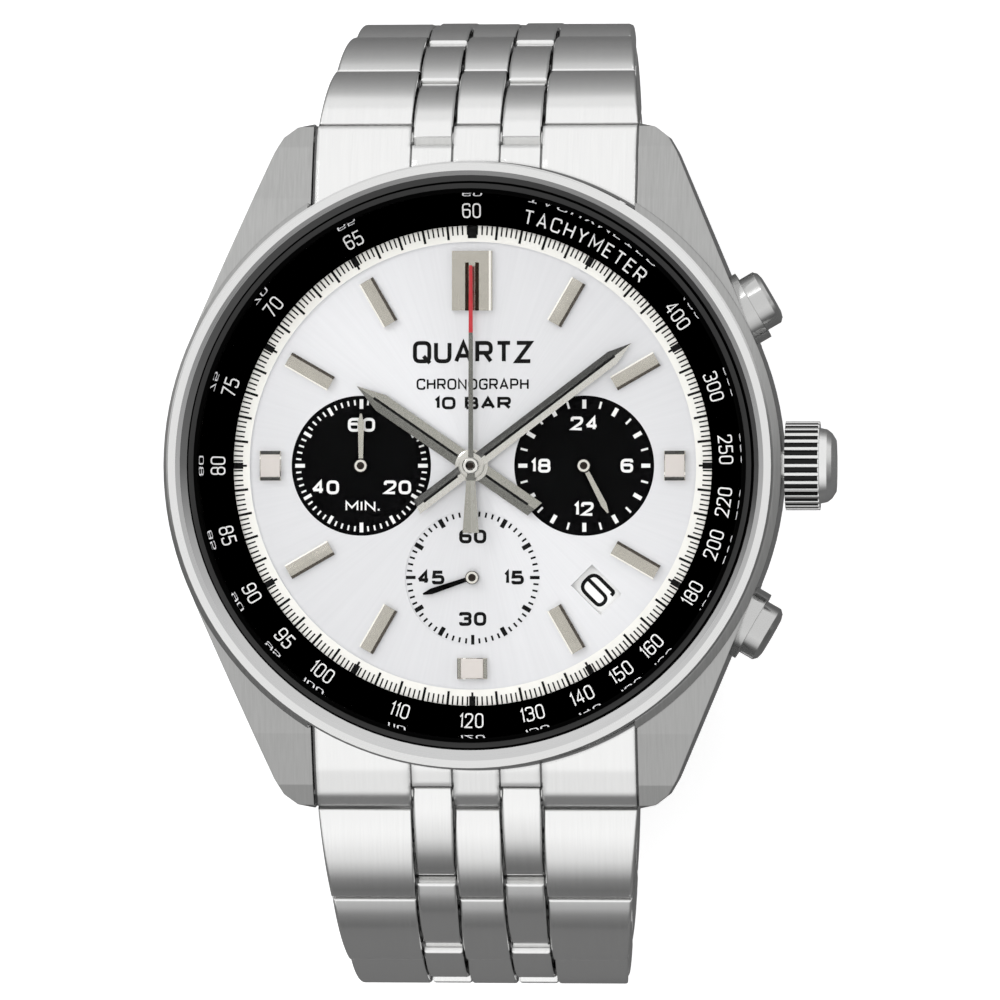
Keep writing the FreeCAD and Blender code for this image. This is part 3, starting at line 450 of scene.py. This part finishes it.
def glass():
    """Clear glass that hardly reflects, with a black line printed under its rim."""
    clear, black = (1.0, 1.0, 1.0), (0.002, 0.002, 0.002)
    look = Nodes("crystal_glass", clear, 0.0, 0.0, Transmission_Weight=1.0, IOR=1.002)
    look.wire("Roughness", look.span(look.noise(120.0), 0.0, 0.004))
    x, y, _ = look.xyz()
    rim = look.beyond(look.length(x, y), CRYSTAL_PRINT_R)
    look.wire("Base Color", look.mixed(rim, clear, black))
    look.wire("Transmission Weight", look.span(rim, 1.0, 0.0))
    path = look.node("ShaderNodeLightPath")
    through = look.node("ShaderNodeBsdfTransparent")
    shade = look.math("SUBTRACT", path.outputs["Is Shadow Ray"], rim)
    look.surface(shade, look.shader.outputs[0], through.outputs[0])
    return look.material


# Scale of the texture that makes grinding lines, along X, Y and Z.
ALONG = (9000, 260, 260)  # along the bracelet
WINDING = (300, 22000, 22000)

looks = {
    "case_steel": case_steel(),
    "bezel_steel": bezel_steel(),
    # the bracelet looks carry painted shade in their gaps, and the end links painted shadow
    # lines too
    "bracelet_satin": bracelet_steel("bracelet_satin", 0.12),
    "end_link_satin": bracelet_steel("end_link_satin", 0.55, True),
    "clasp_satin": steel("clasp_satin", (0.7, 0.7, 0.695), 0.27, ALONG, 0.05),
    "polished": steel("polished", (0.78, 0.78, 0.77), 0.09, smudge=0.03, edge=0.04),
    "crown_steel": crown_steel(),
    "pusher_steel": steel("pusher_steel", (0.56, 0.56, 0.555), 0.14, smudge=0.03, edge=0.05),
    "marker_steel": marker_steel(),
    "minutes_hand": small_hand("minutes_hand", SUB["minutes"], (0.46, 0.45, 0.40)),
    "day_hand": small_hand("day_hand", SUB["day"], (0.46, 0.45, 0.40)),
    "seconds_hand": small_hand("seconds_hand", SUB["seconds"], (0.005, 0.005, 0.005)),
    "brass": turned_steel("brass", (0.72, 0.52, 0.22), 0.3, 8.0, 0.4, ARBOR_END_Z),
    "copper": steel("copper", (0.72, 0.30, 0.12), 0.32, WINDING, 0.08),
    "board": paint("board", (0.015, 0.11, 0.045), 0.45, 0.003),
    "battery": turned_steel("battery", (0.55, 0.55, 0.54), 0.28, 6.0, 0.4),
    "holder": paint("holder", (0.03, 0.03, 0.032), 0.55, 0.004),
    "rubber": paint("rubber", (0.008, 0.008, 0.008), 0.6, 0.004),
    "gloss_black": ring_black(),
    "dial": dial_silver(),
    "glass": glass(),
    "white": paint("white", (0.86, 0.86, 0.85), 0.5),
    "cream": paint("cream", (0.84, 0.83, 0.785), 0.5),
    "ink_black": paint("ink_black", (0.004, 0.004, 0.004), 0.5, Specular_IOR_Level=0.1),
    "ink_white": paint("ink_white", (0.80, 0.80, 0.79), 0.45),
    "lume": paint("lume", (0.6, 0.56, 0.53), 0.7, 0.004),
    "red": paint("red", (0.42, 0.012, 0.02), 0.3),
    # painted light and shade on the hands: each hand's left facet takes a darker copy of its
    # steel and its right facet a lighter one
    "hand_shade_dark": steel("hand_shade_dark", (0.075, 0.075, 0.072), 0.22, ALONG, 0.03),
    "hand_light": steel("hand_light", (0.56, 0.55, 0.51), 0.2, ALONG, 0.03),
    "hand_mid": steel("hand_mid", (0.17, 0.17, 0.155), 0.22, ALONG, 0.03),
    "hand_beige": steel("hand_beige", (0.34, 0.335, 0.30), 0.22, ALONG, 0.03),
    "hand_soft": steel("hand_soft", (0.38, 0.375, 0.34), 0.22, ALONG, 0.03),
    "hub_ring": steel("hub_ring", (0.75, 0.74, 0.70), 0.1, smudge=0.03, edge=0.03),
}

NODE_LOOKS = {
    "case_steel": ["mid_case"],
    "bezel_steel": ["bezel"],
    "end_link_satin": ["end_link_12", "end_link_6"],
    "bracelet_satin": [f"link_{side}_{n}" for side in (12, 6) for n in range(1, 7)],
    "clasp_satin": ["clasp_cover", "clasp_blade_inner", "clasp_blade_outer"],
    "polished": [
        "lug_spring_bars",
        "clasp_button_right",
        "clasp_button_left",
        "stem",
        "setting_lever",
        "crown_tube",
        "bridge_screws",
        "case_back",
        "stator",
    ],
    "crown_steel": ["crown"],
    "pusher_steel": ["pusher_upper", "pusher_lower", "pusher_tubes"],
    "marker_steel": ["hour_markers"],
    "minutes_hand": ["chrono_minute_hand"],
    "day_hand": ["hand_24h"],
    "seconds_hand": ["small_seconds_hand"],
    "brass": [
        "main_plate",
        "train_bridge",
        "center_wheel",
        "third_wheel",
        "fourth_wheel",
        "chrono_wheel",
        "chrono_intermediate_wheel",
        "chrono_minute_wheel",
        "minute_wheel",
        "hour_wheel",
        "wheel_24h",
    ],
    "copper": ["drive_coil"],
    "board": ["circuit_board"],
    "battery": ["battery", "rotor"],
    "holder": ["movement_holder"],
    "rubber": ["crystal_gasket"],
    "gloss_black": ["tachymeter_ring"],
    "dial": ["dial"],
    "glass": ["crystal"],
    "white": ["date_disc"],
}
for look, names in NODE_LOOKS.items():
    for name in names:
        nodes[name].data.materials.clear()
        nodes[name].data.materials.append(looks[look])


# ---------------------------------------------------------------- shapes
def sides(count, start=0):
    """The faces between one loop of count points and the next, from index start."""
    loop = [(start + k, start + (k + 1) % count) for k in range(count)]
    return [[k, after, after + count, k + count] for k, after in loop]


class Shape:
    """Faces in millimetres, gathered into one object."""

    def __init__(self):
        self.verts, self.faces, self.slots = [], [], []

    def add(self, verts, faces, slot=0):
        start = len(self.verts)
        self.verts += [tuple(v) for v in verts]
        self.faces += [[start + k for k in face] for face in faces]
        self.slots += [slot] * len(faces)

    def block(self, bottom, top, slot=0):
        """A solid between two counterclockwise outlines of as many points."""
        count = len(bottom)
        faces = [list(range(count))[::-1], list(range(count, 2 * count))]
        faces += sides(count)
        self.add(bottom + top, faces, slot)

    def prism(self, outline, low, high, slot=0):
        """A flat plate; outline runs counterclockwise."""
        bottom = [(x, y, low) for x, y in outline]
        self.block(bottom, [(x, y, high) for x, y in outline], slot)

    def turned_ring(self, profile, slot):
        """A ring turned about Z from a closed profile of (radius, z)."""
        for k in range(TURN_STEPS):
            verts = []
            for step in (0, 1):
                angle = 2 * math.pi * (k + step) / TURN_STEPS
                verts += [(r * math.cos(angle), r * math.sin(angle), z) for r, z in profile]
            self.add(verts, sides(len(profile)), slot)

    def made(self, name, body, *materials, slot=None, turn=0.0, at=(0, 0)):
        """The object, turned clockwise by degrees about its own origin and moved."""
        c, s = math.cos(math.radians(turn)), math.sin(math.radians(turn))
        verts = [
            ((x * c + y * s + at[0]) * MM, (y * c - x * s + at[1]) * MM, z * MM)
            for x, y, z in self.verts
        ]
        mesh = bpy.data.meshes.new(name)
        mesh.from_pydata(verts, [], self.faces)
        for material in materials:
            mesh.materials.append(looks[material])
        mesh.polygons.foreach_set("material_index", self.slots)
        mesh.update()
        piece = bpy.data.objects.new(name, mesh)
        bpy.context.scene.collection.objects.link(piece)
        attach(piece, body)
        return piece


def bearing(radius, degrees, centre=(0.0, 0.0)):
    """The point at a clockwise angle from 12 o'clock."""
    angle = math.radians(degrees)
    return centre[0] + radius * math.sin(angle), centre[1] + radius * math.cos(angle)


def tick(shape, inner, outer, degrees, width, z, centre=(0.0, 0.0)):
    """A radial mark at a clockwise angle from 12 o'clock."""
    angle = math.radians(degrees)
    across = (math.cos(angle) * width / 2, -math.sin(angle) * width / 2)
    a, b = bearing(inner, degrees, centre), bearing(outer, degrees, centre)
    corners = [
        (a[0] - across[0], a[1] - across[1], z),
        (a[0] + across[0], a[1] + across[1], z),
        (b[0] + across[0], b[1] + across[1], z),
        (b[0] - across[0], b[1] - across[1], z),
    ]
    shape.block(corners, [(x, y, h + PRINT) for x, y, h in corners])


# Stroked letters in a unit box. A third number marks a sharp corner.
ROUND_BOX = [(0, 0), (1, 0), (1, 1), (0, 1), None]
LETTERS = {
    "0": (1, [ROUND_BOX]),
    "1": (0.4, [[(0, 0.78), (1, 1, 1), (1, 0)]]),
    "2": (1, [[(0, 0.72), (0, 1), (1, 1), (1, 0.6), (0, 0, 1), (1, 0)]]),
    "3": (
        1,
        [
            [(0, 0.8), (0, 1), (1, 1), (1, 0.53), (0.35, 0.53)],
            [(0.35, 0.53), (1, 0.53), (1, 0), (0, 0), (0, 0.2)],
        ],
    ),
    "4": (1, [[(0.75, 0), (0.75, 1, 1), (0, 0.27, 1)], [(0, 0.27), (1, 0.27)]]),
    "5": (1, [[(0.95, 1), (0.08, 1, 1), (0.02, 0.56, 1), (1, 0.6), (1, 0), (0, 0), (0, 0.2)]]),
    "6": (
        1,
        [
            [(1, 0.8), (1, 1), (0, 1), (0, 0), (1, 0), (1, 0.57), (0.5, 0.57)],
            [(0.5, 0.57), (0.02, 0.57)],
        ],
    ),
    "7": (1, [[(0, 1), (1, 1, 1), (0.3, 0)]]),
    "8": (
        1,
        [
            [(0.04, 0.53), (0.04, 1), (0.96, 1), (0.96, 0.53)],
            [(0, 0.53), (1, 0.53), (1, 0), (0, 0), None],
        ],
    ),
    "9": (
        1,
        [
            [(0, 0.2), (0, 0), (1, 0), (1, 1), (0, 1), (0, 0.43), (0.5, 0.43)],
            [(0.5, 0.43), (0.98, 0.43)],
        ],
    ),
    "A": (1.05, [[(0, 0), (0.5, 1, 1), (1, 0)], [(0.17, 0.3), (0.83, 0.3)]]),
    "B": (
        1,
        [
            [(0, 0), (0, 1, 1), (0.95, 1), (0.95, 0.52)],
            [(0, 0.52), (1, 0.52), (1, 0), (0, 0)],
        ],
    ),
    "C": (1, [[(1, 0.74), (1, 1), (0, 1), (0, 0), (1, 0), (1, 0.26)]]),
    "E": (0.85, [[(1, 1), (0, 1, 1), (0, 0, 1), (1, 0)], [(0, 0.52), (0.88, 0.52)]]),
    "G": (1, [[(1, 0.78), (1, 1), (0, 1), (0, 0), (1, 0), (1, 0.47, 1), (0.55, 0.47)]]),
    "H": (1, [[(0, 0), (0, 1)], [(1, 0), (1, 1)], [(0, 0.52), (1, 0.52)]]),
    "I": (0, [[(0, 0), (0, 1)]]),
    "M": (1.2, [[(0, 0), (0, 1, 1), (0.5, 0.3, 1), (1, 1, 1), (1, 0)]]),
    "N": (1, [[(0, 0), (0, 1, 1), (1, 0, 1), (1, 1)]]),
    "O": (1.05, [ROUND_BOX]),
    "P": (0.95, [[(0, 0), (0, 1, 1), (1, 1), (1, 0.44), (0.5, 0.44)], [(0.5, 0.44), (0, 0.44)]]),
    "Q": (1.05, [ROUND_BOX, [(0.6, 0.28), (1.04, -0.1)]]),
    "R": (
        1,
        [
            [(0, 0), (0, 1, 1), (1, 1), (1, 0.46), (0.5, 0.46)],
            [(0.5, 0.46), (0, 0.46)],
            [(0.55, 0.46), (1, 0)],
        ],
    ),
    "T": (0.95, [[(0, 1), (1, 1)], [(0.5, 0), (0.5, 1)]]),
    "U": (1, [[(0, 1), (0, 0), (1, 0), (1, 1)]]),
    "Y": (1, [[(0, 1), (0.5, 0.46, 1), (1, 1)], [(0.5, 0.46), (0.5, 0)]]),
    "Z": (1, [[(0, 1), (1, 1, 1), (0, 0, 1), (1, 0)]]),
    ".": (0, [[(0, -0.06), (0, 0.16)]]),
    " ": (0.35, []),
}


ARC_STEPS = 6
SAME_POINT = 1e-5
SHARPEST_MITRE = 0.45  # least cosine that a mitred corner is built for
LAYER_RISE = 0.12  # share by which each stroke of a letter stands above the one before


def softened(points, corner, closed):
    """The line with its corners turned into short arcs, except those marked sharp."""
    line, count = [], len(points)
    for k, point in enumerate(points):
        here = Vector(point[:2])
        if (not closed and k in (0, count - 1)) or len(point) == 3:
            line.append(here)
            continue
        before = Vector(points[k - 1][:2]) - here
        after = Vector(points[(k + 1) % count][:2]) - here
        reach = min(corner, before.length * 0.5, after.length * 0.5)
        start, end = here + before.normalized() * reach, here + after.normalized() * reach
        for step in range(ARC_STEPS + 1):
            t = step / ARC_STEPS
            line.append(start * (1 - t) ** 2 + here * (2 * t * (1 - t)) + end * t**2)
    clean = [line[0]]
    for point in line[1:]:
        if (point - clean[-1]).length > SAME_POINT:
            clean.append(point)
    if closed and (clean[0] - clean[-1]).length < SAME_POINT:
        clean.pop()
    return clean


def ribbon(line, stroke, closed):
    """A band of even width along the line, as (verts, faces) from z = 0 to 1."""
    count, edges = len(line), []
    for k, point in enumerate(line):
        before = point - line[k - 1] if k or closed else None
        after = line[(k + 1) % count] - point if k < count - 1 or closed else None
        before = before if before is not None else after
        after = after if after is not None else before
        ways = [Vector((-d.y, d.x)).normalized() for d in (before, after)]
        normal = (ways[0] + ways[1]).normalized()
        reach = stroke / 2 / max(SHARPEST_MITRE, normal.dot(ways[0]))
        edges.append((point - normal * reach, point + normal * reach))
    verts = [(p.x, p.y, z) for pair in edges for p in pair for z in (0.0, 1.0)]
    faces = []
    for k in range(count if closed else count - 1):
        a, b = 4 * k, 4 * ((k + 1) % count)
        faces += [
            [a + 1, b + 1, b + 3, a + 3],
            [a, a + 2, b + 2, b],
            [a, b, b + 1, a + 1],
            [a + 2, a + 3, b + 3, b + 2],
        ]
    if not closed:
        end = 4 * (count - 1)
        faces += [[0, 1, 3, 2], [end, end + 2, end + 3, end + 1]]
    return verts, faces


def glyphs(text, height, width, gap, stroke, corner=0.3):
    """A line of type, all sizes in millimetres, centred, as (verts, faces)."""
    verts, faces, x = [], [], 0.0
    for letter in text:
        share, strokes = LETTERS[letter]
        wide = max(0.0, share * width - stroke)
        for layer, points in enumerate(strokes):
            closed = points[-1] is None
            placed = [
                (x + stroke / 2 + p[0] * wide, stroke / 2 + p[1] * (height - stroke), *p[2:])
                for p in (points[:-1] if closed else points)
            ]
            band = ribbon(softened(placed, corner, closed), stroke, closed)
            faces += [[len(verts) + k for k in face] for face in band[1]]
            verts += [(u, v, w * (1 + LAYER_RISE * layer)) for u, v, w in band[0]]
        x += wide + stroke + gap
    middle = (x - gap) / 2
    return [(u - middle, v - height / 2, w) for u, v, w in verts], faces


def set_flat(shape, type_, x, y, z):
    """Type on a level face, centred at x and y."""
    verts, faces = type_
    shape.add([(u + x, v + y, z + w * PRINT) for u, v, w in verts], faces)


def set_round(shape, type_, radius, degrees, height, inward=False):
    """Type on a ring; height gives z at a radius; inward turns the tops to the centre."""
    side = -1 if inward else 1
    placed = []
    for u, v, w in type_[0]:
        r = radius + side * v
        x, y = bearing(r, degrees + side * math.degrees(u / radius))
        placed.append((x, y, height(r) + w * PRINT))
    shape.add(placed, type_[1])


# ---------------------------------------------------------------- dial printing
RING_FOOT_R, RING_FOOT_Z = 16.1, 8.35  # where the tachymeter ring's cone starts


def slope(radius):
    """Height of print on the tachymeter ring's cone."""
    return RING_FOOT_Z + (radius - RING_FOOT_R) / 3 + LIFT


def minute_track():
    """The cream track with its fifth-of-a-second marks."""
    track = Shape()
    inner, outer, count = 15.02, 16.3, 240
    for k in range(count):
        a, b = (360 * (k + side) / count for side in (0, 1))
        quad = [bearing(inner, a), bearing(outer, a), bearing(outer, b), bearing(inner, b)]
        verts = [(x, y, TRACK_TOP + LIFT) for x, y in quad]
        track.add(verts, [[3, 2, 1, 0]])
    track.made("minute_track", "case", "cream", slot="silver_dial")
    marks = Shape()
    z = TRACK_TOP + LIFT + 0.006
    per_turn, per_second = 300, 5
    for k in range(per_turn):
        degrees = 360 * k / per_turn
        if k == 0:
            tick(marks, 15.25, 16.15, 0, 0.62, z)
        elif k % (5 * per_second) == 0:
            tick(marks, 15.45, 16.15, degrees, 0.42, z)
            tick(marks, 15.2, 15.45, degrees, 0.14, z)
        elif k % per_second == 0:
            tick(marks, 15.2, 16.15, degrees, 0.16, z)
        else:
            tick(marks, 15.48, 16.08, degrees, 0.1, z)
    marks.made("minute_marks", "case", "ink_black", slot="black_ring")


def dial_lettering():
    """The words on the dial, and the numerals and scales of the sub-dials."""
    black, white = Shape(), Shape()
    z = DIAL_TOP + LIFT
    set_flat(black, glyphs("QUARTZ", 1.5, 1.18, 0.18, 0.27, 0.34), 0.0, 7.62, z)
    set_flat(black, glyphs("CHRONOGRAPH", 0.76, 0.59, 0.1, 0.125, 0.22), 0.0, 5.47, z)
    set_flat(black, glyphs("10 BAR", 0.84, 0.92, 0.15, 0.2, 0.24), 0.0, 4.2, z)
    z = RECESS + LIFT
    numerals = {"height": 0.93, "width": 0.84, "gap": 0.15, "stroke": 0.19, "corner": 0.26}

    def scale_ring(shape, centre, count, heavy_every, marks):
        """marks: (inner, outer, width) of the quarter, heavy and light marks."""
        for k in range(count):
            if k % (count // 4) == 0:
                inner, outer, width = marks[0]
            elif k % heavy_every == 0:
                inner, outer, width = marks[1]
            else:
                inner, outer, width = marks[2]
            tick(shape, inner, outer, 360 * k / count, width, z, centre)

    x, y = SUB["minutes"]
    for text, u, v in (("60", 0.0, 2.75), ("20", 2.43, -1.45), ("40", -2.43, -1.45)):
        set_flat(white, glyphs(text, **numerals), x + u, y + v, z)
    set_flat(white, glyphs("MIN.", 0.68, 0.72, 0.16, 0.115, 0.1), x + 0.07, y - 2.7, z)
    marks = ((3.82, 4.47, 0.25), (3.9, 4.47, 0.22), (4.08, 4.43, 0.12))
    scale_ring(white, (x, y), 60, 5, marks)
    x, y = SUB["day"]
    for text, u, v in (("24", 0, 2.83), ("6", 2.86, 0), ("12", -0.03, -2.9), ("18", -2.93, 0)):
        set_flat(white, glyphs(text, **numerals), x + u, y + v, z)
    marks = ((3.83, 4.43, 0.27), (3.83, 4.43, 0.27), (3.95, 4.43, 0.14))
    scale_ring(white, (x, y), 24, 2, marks)
    x, y = SUB["seconds"]
    numerals["stroke"] = 0.22
    for text, u, v in (("60", 0, 2.75), ("15", 2.78, 0), ("30", 0, -2.78), ("45", -2.82, 0)):
        set_flat(black, glyphs(text, **numerals), x + u, y + v, z)
    marks = ((3.85, 4.5, 0.22), (3.87, 4.48, 0.3), (4.1, 4.45, 0.13))
    scale_ring(black, (x, y), 60, 5, marks)
    black.made("dial_print_black", "case", "ink_black", slot="silver_dial")
    white.made("dial_print_white", "case", "ink_white", slot="silver_dial")


def tachymeter_print():
    """Each speed stands where the hand is after the seconds that a unit takes."""
    marks = Shape()
    values = [60, 65, 70, 75, 80, 85, 90, 95, 100, 110, 120, 130, 140, 150, 160]
    for value in values + [180, 200, 220, 250, 300, 400]:
        type_ = glyphs(str(value), 0.98, 0.56, 0.13, 0.1, 0.22)
        degrees = 60 * 360 / value % 360
        set_round(marks, type_, 17.08, degrees, slope, 85 <= value <= 220)
    type_ = glyphs("TACHYMETER", 0.98, 0.68, 0.27, 0.115, 0.2)
    set_round(marks, type_, 17.05, 27.3, slope)
    marks.made("tachymeter_print", "case", "ink_white", slot="black_ring")


def date_numerals():
    """1 to 31 around the date disc, read outwards, with 6 in the window."""
    numerals = Shape()
    days, shown, window, middle = 31, 6, 135.0, 11.75
    for number in range(1, days + 1):
        width = 2.15 if number < 10 else 1.08
        verts, faces = glyphs(str(number), 1.62, width, 0.2, 0.24, 0.6)
        angle = math.radians(window - (number - shown) * 360 / days)
        out = (math.sin(angle), math.cos(angle))
        placed = []
        for u, v, w in verts:
            r = middle + u
            x, y = r * out[0] - v * out[1], r * out[1] + v * out[0]
            placed.append((x, y, DATE_DISC_TOP + LIFT + w * PRINT))
        numerals.add(placed, faces)
    numerals.made("date_numerals", "date", "ink_black", slot="date_white")


minute_track()
dial_lettering()
tachymeter_print()
date_numerals()


# ---------------------------------------------------------------- lume inlays
def lume_inlays():
    """A luminous plate between two bars on each of the square markers."""
    inlays = Shape()
    for degrees in (90, 180, 270):
        c, s = math.cos(math.radians(degrees)), math.sin(math.radians(degrees))
        bars = 2 if degrees == 180 else 1
        # painted shade: the bars at 3 and 9 take the hands' dark steel, those at 6 the beige one
        for left, right, slot in ((-0.99, -0.77, bars), (-0.74, 0.74, 0), (0.77, 0.99, bars)):
            rings = []
            for inset, z in ((0.0, 8.24), (0.0, 8.31), (0.05, 8.345)):
                corners = [
                    (left + inset, 12.94 + inset),
                    (right - inset, 12.94 + inset),
                    (right - inset, 14.26 - inset),
                    (left + inset, 14.26 - inset),
                ]
                rings += [(x * c + y * s, y * c - x * s, z) for x, y in corners]
            faces = [[3, 2, 1, 0], [8, 9, 10, 11]] + sides(4) + sides(4, 4)
            inlays.add(rings, faces, slot)
    inlays.made("lume_inlays", "case", "lume", "hand_shade_dark", "hand_beige", slot="silver_dial")


lume_inlays()


# ---------------------------------------------------------------- hands
def faceted_hand(name, body, node, size, low, boss, bore, turn, left, right):
    """A blade with painted shade on its left facet and painted light on its right one, as darker
    and lighter copies of one steel, and a black centre line.

    size is (tip, tail, half width), low is the height of the underside, and boss
    is the (radius, top) of the ring around the arbor.
    """
    tip, tail, half = size
    boss_radius, boss_top = boss
    ridge, edge = low + 0.2, low + 0.08
    shoulder = tip - 3.2 * half
    hand = Shape()
    for side, slot in ((-1, 0), (1, 1)):
        back = -tail + (half if side < 0 else 0) * 0.5
        outline = [
            (0.0, -tail + half * 0.25, ridge),
            (side * half, back, edge),
            (side * half, shoulder, edge),
            (0.0, tip, ridge - 0.04),
        ]
        if side < 0:
            outline = outline[::-1]
        hand.block([(x, y, low) for x, y, _ in outline], outline, slot)
    bar, boss_gap = 0.085, 1.15  # the black line's half width and its distance from the hub
    for start, end in ((boss_gap, tip - 1.4), (-tail + 0.7, -boss_gap)):
        line = [(-bar, start), (bar, start), (bar, end), (-bar, end)]
        hand.prism(line, ridge - 0.05, ridge + 0.012, 2)
    profile = [
        (bore, boss_top),
        (boss_radius * 0.9, boss_top),
        (boss_radius, boss_top - 0.05),
        (boss_radius, low),
        (bore, low),
    ]
    hand.turned_ring(profile, 3)
    piece = hand.made(
        name, body, left, right, "ink_black", "hand_light", slot="polished_steel", turn=turn
    )
    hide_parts(node)


def chrono_seconds():
    """A needle with a red tip, a widening tail and a ring at its hub."""
    hand = Shape()
    low, high = 9.25, 9.37
    blade_end, tail_end = 8.9, -1.1
    outline = [(-0.55, -4.5), (0.55, -4.5), (0.3, -1.0), (0.17, 0), (0.14, blade_end)]
    # painted shade on the left half of the tail, painted light on the right half
    outline += [(-0.14, blade_end), (-0.17, 0), (-0.3, -1.0)]
    for side, slot in ((-1, 0), (1, 1)):
        half = sorted([p for p in outline if p[0] * side > 0], key=lambda p: p[1])
        spine = [(0.0, y) for _, y in half]
        strip = half + spine[::-1] if side > 0 else spine + half[::-1]
        count, rows = len(strip), len(half) - 1
        verts = [(x, y, low) for x, y in strip]
        verts += [(x, y, high if x == 0 else high - 0.04) for x, y in strip]
        faces = [list(range(count))[::-1]]
        for k in range(rows):
            quad = [k, k + 1, count - 2 - k, count - 1 - k]
            faces.append([count + j for j in quad])
        first = len(hand.slots) + 1
        hand.add(verts, faces + sides(count), slot)
        for k in range(rows):
            if half[k][1] > tail_end:
                hand.slots[first + k] = 4
    red_tip = [(-0.14, blade_end), (0.14, blade_end), (0.11, 13.4), (-0.11, 13.4)]
    hand.prism(red_tip, low, high, 2)
    profile = [(0.27, 9.62), (0.33, 9.7), (0.48, 9.7), (0.55, 9.62), (0.55, low), (0.27, low)]
    hand.turned_ring(profile, 3)
    materials = ("hand_beige", "hand_soft", "red", "hub_ring", "hand_mid")
    piece = hand.made(
        "chrono_seconds_needle", "chrono_seconds", *materials, slot="polished_steel"
    )
    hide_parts("chrono_seconds_hand")


# each hand's left facet carries painted shade and its right facet painted light
faceted_hand(
    "hour_hand_blade", "hours", "hour_hand",
    size=(9.4, 5.3, 0.62), low=8.45, boss=(1.1, 8.72), bore=0.8, turn=304.6,
    left="hand_mid", right="hand_beige",
)
faceted_hand(
    "minute_hand_blade", "minutes", "minute_hand",
    size=(13.5, 4.7, 0.5), low=8.85, boss=(0.85, 9.15), bore=0.45, turn=52.7,
    left="hand_shade_dark", right="hand_light",
)
chrono_seconds()


# ---------------------------------------------------------------- studio
# Brightness of the surroundings by height. A direction counts as higher by a
# share of its y, as if a softbox stood behind 12 o'clock.
SKY_SHARES = (0.9, 0.02)
SKY = ((0.0, 0.14), (0.2, 0.22), (0.5, 0.8), (0.8, 1.05), (1.0, 1.0))


def add_world(scene):
    world = bpy.data.worlds.new("studio")
    scene.world = world
    world.use_nodes = True
    tree = world.node_tree

    def math_node(operation, a, b):
        made = tree.nodes.new("ShaderNodeMath")
        made.operation = operation
        for index, value in enumerate((a, b)):
            if isinstance(value, bpy.types.NodeSocket):
                tree.links.new(value, made.inputs[index])
            else:
                made.inputs[index].default_value = value
        return made.outputs[0]

    coords = tree.nodes.new("ShaderNodeTexCoord")
    parts = tree.nodes.new("ShaderNodeSeparateXYZ")
    tree.links.new(coords.outputs["Generated"], parts.inputs[0])
    leans = [math_node("MULTIPLY", parts.outputs[1], share) for share in SKY_SHARES]
    height = math_node("ADD", math_node("MAXIMUM", *leans), parts.outputs[2])
    ramp = tree.nodes.new("ShaderNodeValToRGB")
    tree.links.new(height, ramp.inputs[0])
    elements = ramp.color_ramp.elements
    for position, _ in SKY[1:-1]:
        elements.new(position)
    for element, (_, value) in zip(elements, SKY):
        element.color = (value, value, value, 1)
    background = tree.nodes["Background"]
    tree.links.new(ramp.outputs[0], background.inputs["Color"])
    background.inputs["Strength"].default_value = 1.0


def add_floor(scene):
    """Pale paper; reflections see it with painted shade, darker near the watch and towards 6
    o'clock.
    """
    half, low = 3.0, cad_box[0][2] - 0.0005  # metres
    mesh = bpy.data.meshes.new("floor")
    corners = [(-half, -half, low), (half, -half, low), (half, half, low), (-half, half, low)]
    mesh.from_pydata(corners, [], [[0, 1, 2, 3]])
    sheet = Nodes("floor_paper", (0.93, 0.93, 0.93), 0.0, 0.7)
    sheet.wire("Roughness", sheet.span(sheet.noise(60.0), 0.65, 0.75))
    sheet.shader.inputs["Emission Color"].default_value = (1, 1, 1, 1)
    sheet.shader.inputs["Emission Strength"].default_value = 0.45
    path = sheet.node("ShaderNodeLightPath")
    x, y, _ = sheet.xyz()
    # painted shade for reflections: dark near the watch and towards 6 o'clock, lighter far away
    reach = sheet.math("ADD", y, sheet.math("MULTIPLY", sheet.length(x, y), 0.35))
    away = sheet.span(reach, 0.0, 1.0, 0.06, 0.3)
    tone = sheet.mixed(away, (0.19, 0.19, 0.19), (0.85, 0.85, 0.85))
    reflected_shade = sheet.node("ShaderNodeBsdfDiffuse", {"Color": tone})
    seen = path.outputs["Is Camera Ray"]
    sheet.surface(seen, reflected_shade.outputs[0], sheet.shader.outputs[0])
    mesh.materials.append(sheet.material)
    floor = bpy.data.objects.new("floor", mesh)
    scene.collection.objects.link(floor)


def add_key_light(scene):
    place = Vector((-0.5, 0.5, 0.7))  # metres
    data = bpy.data.lights.new("key", "AREA")
    data.size = 0.3
    data.energy = 1.2
    lamp = bpy.data.objects.new("key", data)
    lamp.location = place
    lamp.rotation_euler = (-place).to_track_quat("-Z", "Y").to_euler()
    scene.collection.objects.link(lamp)


bpy.context.scene.view_settings.view_transform = "Standard"
add_world(bpy.context.scene)
add_floor(bpy.context.scene)
add_key_light(bpy.context.scene)
